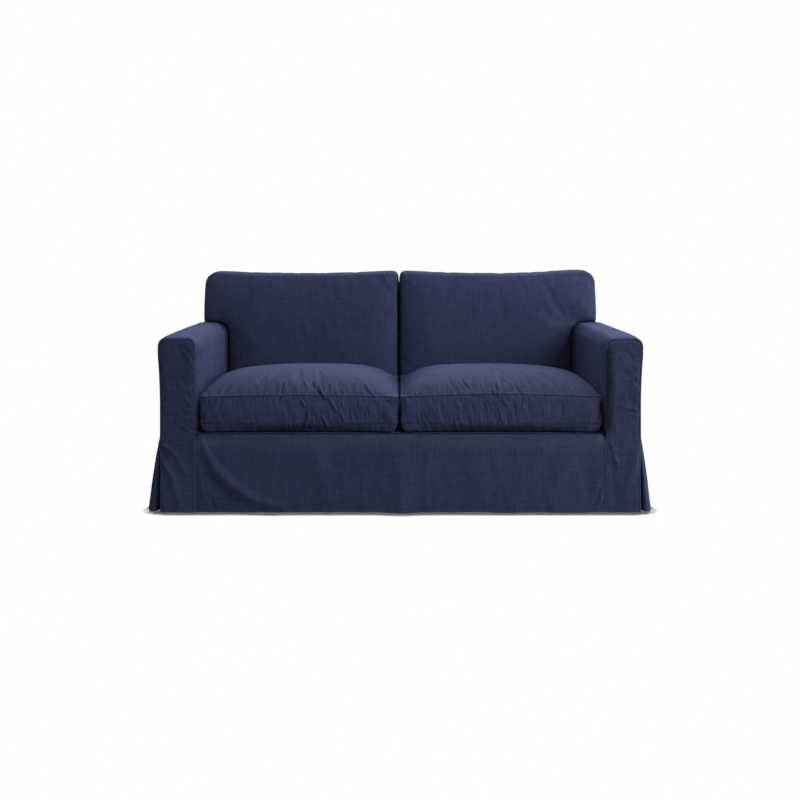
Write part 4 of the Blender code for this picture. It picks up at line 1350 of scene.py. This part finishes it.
def back_cushion(side_name, finish):
    """A boxed L-shaped cushion: its outer end lies over the arm top."""
    side = SIDES[side_name]
    high_corner = BACK_SIDES[side_name].lift
    pitch = CUSHION_PITCH
    columns = face_stations(CUSHION_START, NOTCH_X, pitch)[:-3] + [NOTCH_X - 0.012, NOTCH_X]
    columns += face_stations(NOTCH_X, CUSHION_END, pitch)[3:]
    rows = face_stations(CUSHION_FOOT, NOTCH_Z, pitch)[:-3] + [NOTCH_Z - 0.012, NOTCH_Z]
    rows += face_stations(NOTCH_Z, CUSHION_TOP, pitch)[3:]
    front_seam = FRONT_Y + BACK_FRONT + BACK_CROWN
    rear = INSIDE_BACK_Y - SEAM_GAP - 0.004
    rear_seam = rear - 0.012
    deep = rear_seam - front_seam
    # (outward offset, y) of each layer from the rear face to the front seam
    layers = [(-0.012, rear), (-0.005, rear - 0.003), (-0.001, rear - 0.008)]
    layers += [(out, rear_seam - ahead) for out, ahead in boxing_stations(deep, BACK_BULGE)]

    def place(x, z, layer, rim):
        offset, y = layer
        sharp = cushion_depth(x, z, 0.0)
        if sharp < 0.09:
            x, z = to_depth(x, z, sharp - offset * (1.0 - smooth(sharp / 0.05)))
        distance = -min(abs(y - front_seam), abs(rear_seam - y))
        if not rim:
            distance = sharp
            if layer == layers[-1]:
                inside = 0.5 * (sharp + max(cushion_depth(x, z, 2.6), 0.0)) / 0.17
                y -= BACK_CROWN * math.sqrt(max(0.0, 1.0 - max(1.0 - inside, 0.0) ** 2.2))
        middle = 2.0 * x / BACK_CUSHION_END - 1.0
        lift = smooth((z - 0.70) / (BACK_CUSHION_TOP - 0.70))
        splay = END_SPLAY * smooth((x - 0.78) / (CUSHION_END - 0.78)) * (1.0 - 2.0 * lift)
        z -= BACK_SAG * lift * (1.0 - middle**2) - high_corner * lift * smooth((x - 0.45) / 0.35)
        x = side * (x + splay)
        return Vector((x + drift(x, BACK_DRIFT), y, z)), distance

    def unwanted(column, row):
        return column >= NOTCH_X and row < NOTCH_Z

    return lay_slab(f"back_cushion_linen_{side_name}", columns, rows, layers, place, finish, unwanted)


def finish_back(piece, side_name, sewing):
    """Seams, puckers and creases of a back cushion."""
    refine(piece)
    mesh = piece.data
    points = read_points(mesh)
    x, y, z = points.T
    distance = read_mask(mesh, "seam_distance")
    height, ridge, groove = cushion_seams(piece, points, sewing, 50 + SIDES[side_name])
    creased = relief(BACK_CREASES[side_name], x, z) + relief(scattered(BACK_PUCKERS[side_name]), x, z)
    height += creased * ramp(y, FRONT_Y + BACK_FRONT + 0.07, FRONT_Y + BACK_FRONT + 0.04)
    height += waves(points, (0.0011, (0.14, 0.10, 0.14), 52), (0.0005, (0.03, 0.03, 0.03), 53))
    by_arm = ramp(z, ARM_TOP + 0.035, ARM_TOP + 0.015) * ramp(np.abs(x), INNER_HALF - 0.03, INNER_HALF - 0.01)
    # Painted shade along the outline, more where it lies by an arm, and on the boxing
    all_round, more_by_arm = BACK_OUTLINE_SHADE
    outline = bell(distance, 0.0, 0.0035) * (all_round + more_by_arm * by_arm)
    boxing = BACK_BOXING_SHADE * ramp(-distance, 0.001, 0.004)
    # The welts' wear and painted highlight, less by the arms, and each cushion's painted lightness
    rubbed_and_lit = ridge * (1.0 - by_arm) + BACK_SIDES[side_name].rub
    emboss(piece, height, rubbed_and_lit, np.maximum(groove, boxing) + outline)
    points = keep_inside(read_points(mesh), f"back_cushion_{side_name}")
    write_points(mesh, clear_of_arm(points, ARM_SIDES[side_name].inner_corner))
    declare(piece, f"back_cushion_{side_name}")


# ---------------------------------------------------------------- finishes


def new_node(tree, kind, **values):
    node = tree.nodes.new(kind)
    for name, value in values.items():
        setattr(node, name, value)
    return node


def feed(tree, socket, value):
    """Join a socket to another, or set its number or colour."""
    if isinstance(value, bpy.types.NodeSocket):
        tree.links.new(value, socket)
    else:
        socket.default_value = value


def arithmetic(tree, operation, *values):
    node = new_node(tree, "ShaderNodeMath", operation=operation)
    for socket, value in zip(node.inputs, values):
        feed(tree, socket, value)
    return node.outputs[0]


def blend_numbers(tree, share, first, second):
    node = new_node(tree, "ShaderNodeMix", data_type="FLOAT")
    feed(tree, node.inputs[0], share)
    feed(tree, node.inputs[2], first)
    feed(tree, node.inputs[3], second)
    return node.outputs[0]


def blend_colours(tree, share, first, second):
    node = new_node(tree, "ShaderNodeMix", data_type="RGBA")
    feed(tree, node.inputs[0], share)
    feed(tree, node.inputs[6], first)
    feed(tree, node.inputs[7], second)
    return node.outputs[2]


def vector_of(tree, *values):
    node = new_node(tree, "ShaderNodeCombineXYZ")
    for socket, value in zip(node.inputs, values):
        feed(tree, socket, value)
    return node.outputs[0]


def noise_at(tree, vector, scale, detail, roughness=0.5):
    node = new_node(tree, "ShaderNodeTexNoise")
    feed(tree, node.inputs["Vector"], vector)
    feed(tree, node.inputs["Scale"], scale)
    node.inputs["Detail"].default_value = detail
    node.inputs["Roughness"].default_value = roughness
    return node.outputs["Fac"]


def new_group(name, inputs, outputs):
    """A shader node group with named sockets: (name, kind) pairs."""
    tree = bpy.data.node_groups.new(name, "ShaderNodeTree")
    for socket, kind in inputs:
        tree.interface.new_socket(socket, in_out="INPUT", socket_type=f"NodeSocket{kind}")
    for socket, kind in outputs:
        tree.interface.new_socket(socket, in_out="OUTPUT", socket_type=f"NodeSocket{kind}")
    return tree, tree.nodes.new("NodeGroupInput").outputs, tree.nodes.new("NodeGroupOutput").inputs


def weave_group():
    """Warp and weft of a plain linen weave, with slubs, on any face of a piece."""
    tree, given, result = new_group(
        "Linen weave",
        [("Position", "Vector"), ("Facing", "Vector"), ("Yarn Pitch", "Float"), ("Slub Width", "Float"),
         ("Slub Length", "Float")],
        [("Yarn", "Float"), ("Slub", "Float"), ("Height", "Float")],
    )
    place = new_node(tree, "ShaderNodeSeparateXYZ")
    feed(tree, place.inputs[0], given["Position"])
    facing = new_node(tree, "ShaderNodeSeparateXYZ")
    feed(tree, facing.inputs[0], given["Facing"])
    sideways = arithmetic(tree, "GREATER_THAN", arithmetic(tree, "ABSOLUTE", facing.outputs["X"]), 0.7)
    x, y, z = (place.outputs[axis] for axis in "XYZ")
    across = blend_numbers(tree, sideways, x, y)
    along = blend_numbers(tree, sideways, arithmetic(tree, "ADD", y, z), z)
    yarn_scale = arithmetic(tree, "DIVIDE", 1.0, given["Yarn Pitch"])
    slub_scale = arithmetic(tree, "DIVIDE", 1.0, given["Slub Width"])
    stretch = arithmetic(tree, "DIVIDE", 1.0, given["Slub Length"])

    def threads(fast, slow, scale, seed):
        fast = arithmetic(tree, "MULTIPLY", fast, scale)
        slow = arithmetic(tree, "MULTIPLY", slow, stretch)
        return noise_at(tree, vector_of(tree, fast, slow, seed), 1.0, 1.0)

    warp = threads(across, along, yarn_scale, 0.5)
    weft = threads(along, across, yarn_scale, 4.5)
    slub_warp = threads(across, along, slub_scale, 8.5)
    slub_weft = threads(along, across, slub_scale, 12.5)
    yarn = arithmetic(tree, "MULTIPLY", arithmetic(tree, "ADD", warp, weft), 0.5)
    slub = arithmetic(tree, "MULTIPLY", arithmetic(tree, "ADD", slub_warp, slub_weft), 0.5)
    feed(tree, result["Yarn"], yarn)
    feed(tree, result["Slub"], slub)
    feed(tree, result["Height"], arithmetic(tree, "ADD", yarn, slub))
    return tree


def wear_and_painted_light_group():
    """Uneven dye over a piece, paler for wear and painted light, darker for stitches and painted shade."""
    tree, given, result = new_group(
        "Cloth wear",
        [("Position", "Vector"), ("Dye", "Color"), ("Pale", "Color"), ("Patch Size", "Float"),
         ("Unevenness", "Float"), ("Weave", "Float"), ("Weave Contrast", "Float"), ("Welt", "Float"),
         ("Stitch", "Float")],
        [("Color", "Color"), ("Roughness", "Float")],
    )
    patch_scale = arithmetic(tree, "DIVIDE", 1.0, given["Patch Size"])
    patches = noise_at(tree, given["Position"], patch_scale, 4.0, 0.6)
    uneven = arithmetic(tree, "MULTIPLY", arithmetic(tree, "SUBTRACT", patches, 0.5), given["Unevenness"])
    woven = arithmetic(tree, "SUBTRACT", given["Weave"], 0.5)
    woven = arithmetic(tree, "MULTIPLY", woven, given["Weave Contrast"])
    # Welt holds wear and painted light; the stitch mask holds stitches and painted shade
    worn = arithmetic(tree, "MULTIPLY", given["Welt"], RUB_AND_LIGHT_PALENESS)
    share = arithmetic(tree, "ADD", uneven, woven)
    share = arithmetic(tree, "ADD", share, arithmetic(tree, "ADD", worn, PLAIN_PALENESS))
    share = arithmetic(tree, "MAXIMUM", share, 0.0)
    colour = blend_colours(tree, share, given["Dye"], given["Pale"])
    shade = arithmetic(tree, "MULTIPLY", given["Stitch"], SHADE_DARKNESS)
    feed(tree, result["Color"], blend_colours(tree, shade, colour, SHADE_COLOUR))
    feed(tree, result["Roughness"], arithmetic(tree, "ADD", 0.86, arithmetic(tree, "MULTIPLY", uneven, 0.3)))
    return tree


def linen(name, dye, pale, look):
    """The finish of one dyed linen."""
    weave = bpy.data.node_groups.get("Linen weave") or weave_group()
    wear = bpy.data.node_groups.get("Cloth wear") or wear_and_painted_light_group()
    material = bpy.data.materials.new(name)
    material.use_nodes = True
    tree = material.node_tree
    shader = tree.nodes["Principled BSDF"]
    where = new_node(tree, "ShaderNodeTexCoord")
    threads = new_node(tree, "ShaderNodeGroup", node_tree=weave)
    feed(tree, threads.inputs["Position"], where.outputs["Object"])
    feed(tree, threads.inputs["Facing"], where.outputs["Normal"])
    threads.inputs["Yarn Pitch"].default_value = look.yarn_pitch
    threads.inputs["Slub Width"].default_value = look.slub_width
    threads.inputs["Slub Length"].default_value = look.slub_length
    dyed = new_node(tree, "ShaderNodeGroup", node_tree=wear)
    feed(tree, dyed.inputs["Position"], where.outputs["Object"])
    dyed.inputs["Dye"].default_value = (*dye, 1.0)
    dyed.inputs["Pale"].default_value = (*pale, 1.0)
    dyed.inputs["Patch Size"].default_value = 0.09
    dyed.inputs["Unevenness"].default_value = look.unevenness
    feed(tree, dyed.inputs["Weave"], threads.outputs["Slub"])
    dyed.inputs["Weave Contrast"].default_value = look.slub_contrast
    # The welt mask brings wear and painted light, the stitch mask stitches and painted shade
    for mask, socket in (("welt", "Welt"), ("stitch", "Stitch")):
        marked = new_node(tree, "ShaderNodeAttribute", attribute_name=mask)
        feed(tree, dyed.inputs[socket], marked.outputs["Fac"])
    feed(tree, shader.inputs["Base Color"], dyed.outputs["Color"])
    feed(tree, shader.inputs["Roughness"], dyed.outputs["Roughness"])
    bump = new_node(tree, "ShaderNodeBump")
    bump.inputs["Strength"].default_value = look.weave_relief
    bump.inputs["Distance"].default_value = 0.0006
    feed(tree, bump.inputs["Height"], threads.outputs["Height"])
    feed(tree, shader.inputs["Normal"], bump.outputs["Normal"])
    shader.inputs["Metallic"].default_value = 0.0
    shader.inputs["Specular IOR Level"].default_value = 0.12
    shader.inputs["Sheen Weight"].default_value = look.sheen
    shader.inputs["Sheen Roughness"].default_value = 0.45
    shader.inputs["Sheen Tint"].default_value = (0.40, 0.48, 1.0, 1.0)
    return material


def floor_finish(studio):
    """A white studio floor glowing for the camera, with a thin soft shadow painted where something touches
    it.
    """
    material = bpy.data.materials.new("Studio floor")
    material.use_nodes = True
    tree = material.node_tree
    shader = tree.nodes["Principled BSDF"]
    seen = new_node(tree, "ShaderNodeLightPath").outputs["Is Camera Ray"]

    def lightening(value, start, end, least):
        node = new_node(tree, "ShaderNodeMapRange", interpolation_type="SMOOTHSTEP")
        feed(tree, node.inputs["Value"], value)
        node.inputs["From Min"].default_value = start
        node.inputs["From Max"].default_value = end
        node.inputs["To Min"].default_value = least
        return node.outputs["Result"]

    open_air = new_node(tree, "ShaderNodeAmbientOcclusion", samples=16)
    open_air.inputs["Distance"].default_value = SHADOW_REACH
    lit = lightening(open_air.outputs["AO"], 0.74, 0.975, 0.12)
    # A painted shadow: under the cover the floor is dark, whatever the sky sees
    place = new_node(tree, "ShaderNodeSeparateXYZ")
    feed(tree, place.inputs["Vector"], new_node(tree, "ShaderNodeTexCoord").outputs["Object"])
    aside = arithmetic(tree, "ABSOLUTE", place.outputs["X"])
    aside = arithmetic(tree, "SUBTRACT", aside, ARM_HALF + HEM_FLARE)
    along = arithmetic(tree, "SUBTRACT", place.outputs["Y"], (FRONT_Y + BACK_Y) / 2)
    along = arithmetic(tree, "SUBTRACT", arithmetic(tree, "ABSOLUTE", along), COVER_DEPTH / 2 + 0.008)
    beyond = lightening(arithmetic(tree, "MAXIMUM", aside, along), 0.0, 0.012, 0.15)
    lit = arithmetic(tree, "MINIMUM", lit, beyond)
    colour = blend_colours(tree, seen, (*studio.floor, 1.0), (0.0, 0.0, 0.0, 1.0))
    feed(tree, shader.inputs["Base Color"], colour)
    shader.inputs["Emission Color"].default_value = (1.0, 1.0, 1.0, 1.0)
    feed(tree, shader.inputs["Emission Strength"], arithmetic(tree, "MULTIPLY", seen, lit))
    shader.inputs["Roughness"].default_value = 1.0
    shader.inputs["Specular IOR Level"].default_value = 0.0
    return material


# ---------------------------------------------------------------- settings


class LinenSettings(bpy.types.PropertyGroup):
    """Dyes and weave of the linens"""

    body_dye: FloatVectorProperty(
        name="Body dye", description="Deep colour of the body cover", subtype="COLOR", size=3,
        min=0.0, max=1.0, default=(0.0157, 0.0202, 0.0548),
    )
    cushion_dye: FloatVectorProperty(
        name="Cushion dye", description="Deep colour of the cushion covers", subtype="COLOR",
        size=3, min=0.0, max=1.0, default=(0.0187, 0.0238, 0.0633),
    )
    # The pale yarn's colour is also the colour of the painted light
    pale: FloatVectorProperty(
        name="Pale yarn", description="Colour of slubs and rubbed places", subtype="COLOR",
        size=3, min=0.0, max=1.0, default=(0.0715, 0.086, 0.170),
    )
    yarn_pitch: FloatProperty(
        name="Yarn pitch", description="Width of one yarn", default=0.0011, min=0.0003, max=0.01,
        unit="LENGTH",
    )
    slub_width: FloatProperty(
        name="Slub width", description="Width of a thick place in the yarn", default=0.0031,
        min=0.001, max=0.02, unit="LENGTH",
    )
    slub_length: FloatProperty(
        name="Slub length", description="Length of a thick place in the yarn", default=0.045,
        min=0.005, max=0.5, unit="LENGTH",
    )
    slub_contrast: FloatProperty(
        name="Slub contrast", description="How much paler the slubs are", default=0.74, min=0.0,
        max=2.0,
    )
    unevenness: FloatProperty(
        name="Uneven dye", description="How much the dye varies over a piece", default=0.16,
        min=0.0, max=2.0,
    )
    weave_relief: FloatProperty(
        name="Weave relief", description="Strength of the weave's relief", default=0.5, min=0.0,
        max=1.0, subtype="FACTOR",
    )
    sheen: FloatProperty(
        name="Sheen", description="Soft light on the cloth's edges", default=0.10, min=0.0,
        max=1.0, subtype="FACTOR",
    )


class SewingSettings(bpy.types.PropertyGroup):
    """Seams and hems"""

    welt_rise: FloatProperty(
        name="Welt rise", description="Height of the ridge along a seam", default=0.0014, min=0.0,
        max=0.01, unit="LENGTH",
    )
    pucker_rise: FloatProperty(
        name="Pucker rise", description="Height of the small puckers beside a seam",
        default=0.0010, min=0.0, max=0.01, unit="LENGTH",
    )
    hem_rise: FloatProperty(
        name="Hem rise", description="How far the doubled hem stands proud", default=0.0008,
        min=0.0, max=0.01, unit="LENGTH",
    )


class StuffingSettings(bpy.types.PropertyGroup):
    """How the cushions are filled"""

    pressure: FloatProperty(
        name="Pressure", description="Push of the filling", default=4.0, min=0.0, max=50.0,
    )
    slack: FloatProperty(
        name="Slack", description="How much smaller a cushion starts", default=0.004, min=0.0,
        max=0.05, unit="LENGTH",
    )
    cap: FloatProperty(
        name="Furthest move", description="How far a point may move", default=0.010, min=0.0,
        max=0.05, unit="LENGTH",
    )
    gather: FloatProperty(
        name="Gather", description="How much wider the cloth is cut than its seams", default=0.02,
        min=0.0, max=0.5, subtype="FACTOR",
    )


class StudioSettings(bpy.types.PropertyGroup):
    """Light and floor"""

    sky: FloatProperty(name="Sky", description="Strength of the even light", default=0.44, min=0.0, max=10.0)
    overhead: FloatProperty(
        name="Overhead", description="Power of the light above", default=60.0, min=0.0,
        max=5000.0, unit="POWER",
    )
    key: FloatProperty(
        name="Key", description="Power of the high light at the right", default=72.0, min=0.0,
        max=5000.0, unit="POWER",
    )
    side: FloatProperty(
        name="Side", description="Power of the low light at the right", default=92.0, min=0.0,
        max=5000.0, unit="POWER",
    )
    rear: FloatProperty(
        name="Rear", description="Power of the light high behind", default=125.0, min=0.0,
        max=5000.0, unit="POWER",
    )
    floor: FloatVectorProperty(
        name="Floor", description="Colour of the light off the floor", subtype="COLOR", size=3,
        min=0.0, max=1.0, default=(0.35, 0.35, 0.36),
    )


# ---------------------------------------------------------------- operators


def body_finish():
    look = bpy.context.scene.slipcover_linen
    name = "Body linen"
    return bpy.data.materials.get(name) or linen(name, look.body_dye, look.pale, look)


def cushion_finish():
    look = bpy.context.scene.slipcover_linen
    name = "Cushion linen"
    return bpy.data.materials.get(name) or linen(name, look.cushion_dye, look.pale, look)


class SLIPCOVER_OT_stage(bpy.types.Operator):
    """Lay the floor and set the lights and the camera"""

    bl_idname = "slipcover.stage"
    bl_label = "Floor, lights and camera"

    def execute(self, context):
        scene = context.scene
        studio = scene.slipcover_studio
        grid = index_grid(1, 1)
        for vertex in grid.verts:
            vertex.co = ((vertex.co.x - 0.5) * FLOOR_SIZE, (vertex.co.y - 0.5) * FLOOR_SIZE, FLOOR_Z)
        to_object("studio_floor", grid, floor_finish(studio))
        for lamp in LAMPS:
            self.light(lamp, getattr(studio, lamp.setting), scene)
        self.sky(studio, scene)
        scene.view_settings.view_transform = "Standard"
        self.camera(scene)
        return {"FINISHED"}

    def light(self, lamp, power, scene):
        area = bpy.data.lights.new(lamp.name, "AREA")
        area.energy = power
        area.size = lamp.size
        holder = bpy.data.objects.new(lamp.name, area)
        holder.location = lamp.place
        holder.rotation_euler = (Vector(lamp.target) - Vector(lamp.place)).to_track_quat("-Z", "Y").to_euler()
        scene.collection.objects.link(holder)

    def sky(self, studio, scene):
        """White behind the object, with an even light of its own strength."""
        world = bpy.data.worlds.new("Studio")
        world.use_nodes = True
        tree = world.node_tree
        background = tree.nodes["Background"]
        background.inputs["Color"].default_value = (1.0, 1.0, 1.0, 1.0)
        seen = new_node(tree, "ShaderNodeLightPath").outputs["Is Camera Ray"]
        feed(tree, background.inputs["Strength"], blend_numbers(tree, seen, studio.sky, 1.0))
        scene.world = world

    def camera(self, scene):
        lens = bpy.data.cameras.new("Camera")
        lens.sensor_width = SENSOR
        lens.lens = SENSOR * FRONT_SCALE * CAMERA_DISTANCE / PICTURE_WIDTH
        lens.shift_x = SHIFT_RIGHT / PICTURE_WIDTH
        lens.shift_y = -SHIFT_DOWN / PICTURE_WIDTH
        lens.clip_end = 200.0
        holder = bpy.data.objects.new("Camera", lens)
        holder.location = (CAMERA_X, FRONT_Y - CAMERA_DISTANCE, CAMERA_HEIGHT)
        holder.rotation_euler = (math.radians(90), 0.0, 0.0)
        scene.collection.objects.link(holder)
        scene.camera = holder


class SLIPCOVER_OT_arms(bpy.types.Operator):
    """Lay the front, inside and outside panels of both arms"""

    bl_idname = "slipcover.arms"
    bl_label = "Arm panels"

    def execute(self, context):
        finish = body_finish()
        sewing = context.scene.slipcover_sewing
        for side_name in SIDES:
            arm_front(side_name, finish, sewing)
            arm_inside(side_name, finish, sewing)
            arm_outside(side_name, finish, sewing)
        return {"FINISHED"}


class SLIPCOVER_OT_front(bpy.types.Operator):
    """Lay the front rail panel and the seat deck"""

    bl_idname = "slipcover.front"
    bl_label = "Front rail and deck"

    def execute(self, context):
        front_rail(body_finish(), context.scene.slipcover_sewing)
        seat_deck(body_finish())
        return {"FINISHED"}


class SLIPCOVER_OT_back(bpy.types.Operator):
    """Lay the inside and outside back panels and the border between them"""

    bl_idname = "slipcover.back"
    bl_label = "Back panels"

    def execute(self, context):
        for panel in (inside_back, back_border, outside_back):
            panel(body_finish(), context.scene.slipcover_sewing)
        return {"FINISHED"}


class SLIPCOVER_OT_cushions(bpy.types.Operator):
    """Lay and stuff the seat and back cushions"""

    bl_idname = "slipcover.cushions"
    bl_label = "Cushions"

    def execute(self, context):
        finish = cushion_finish()
        sewing = context.scene.slipcover_sewing
        seats = {side_name: seat_cushion(side_name, finish) for side_name in SIDES}
        backs = {side_name: back_cushion(side_name, finish) for side_name in SIDES}
        shares = {piece: 1.0 for piece in seats.values()} | {piece: BACK_WRINKLES for piece in backs.values()}
        stuff(shares, context.scene.slipcover_stuffing)
        for side_name in SIDES:
            finish_seat(seats[side_name], side_name, sewing)
            finish_back(backs[side_name], side_name, sewing)
        return {"FINISHED"}


OPERATORS = (
    SLIPCOVER_OT_stage,
    SLIPCOVER_OT_arms,
    SLIPCOVER_OT_front,
    SLIPCOVER_OT_back,
    SLIPCOVER_OT_cushions,
)


class SLIPCOVER_PT_panel(bpy.types.Panel):
    """The slipcover's pieces and settings"""

    bl_idname = "SLIPCOVER_PT_panel"
    bl_label = "Sofa slipcover"
    bl_space_type = "VIEW_3D"
    bl_region_type = "UI"
    bl_category = "Slipcover"

    def draw(self, context):
        layout = self.layout
        for operator in OPERATORS:
            layout.operator(operator.bl_idname)
        for settings in SETTINGS:
            group = getattr(context.scene, settings)
            for name in group.bl_rna.properties.keys():
                if name not in ("rna_type", "name"):
                    layout.prop(group, name)


SETTINGS = {
    "slipcover_linen": LinenSettings,
    "slipcover_sewing": SewingSettings,
    "slipcover_stuffing": StuffingSettings,
    "slipcover_studio": StudioSettings,
}
CLASSES = (*SETTINGS.values(), *OPERATORS, SLIPCOVER_PT_panel)


def register():
    for cls in CLASSES:
        bpy.utils.register_class(cls)
    for name, settings in SETTINGS.items():
        setattr(bpy.types.Scene, name, PointerProperty(type=settings))


def unregister():
    for name in SETTINGS:
        delattr(bpy.types.Scene, name)
    for cls in reversed(CLASSES):
        bpy.utils.unregister_class(cls)


def main():
    register()
    for operator in OPERATORS:
        group, action = operator.bl_idname.split(".")
        getattr(getattr(bpy.ops, group), action)()


if __name__ == "__main__":
    main()
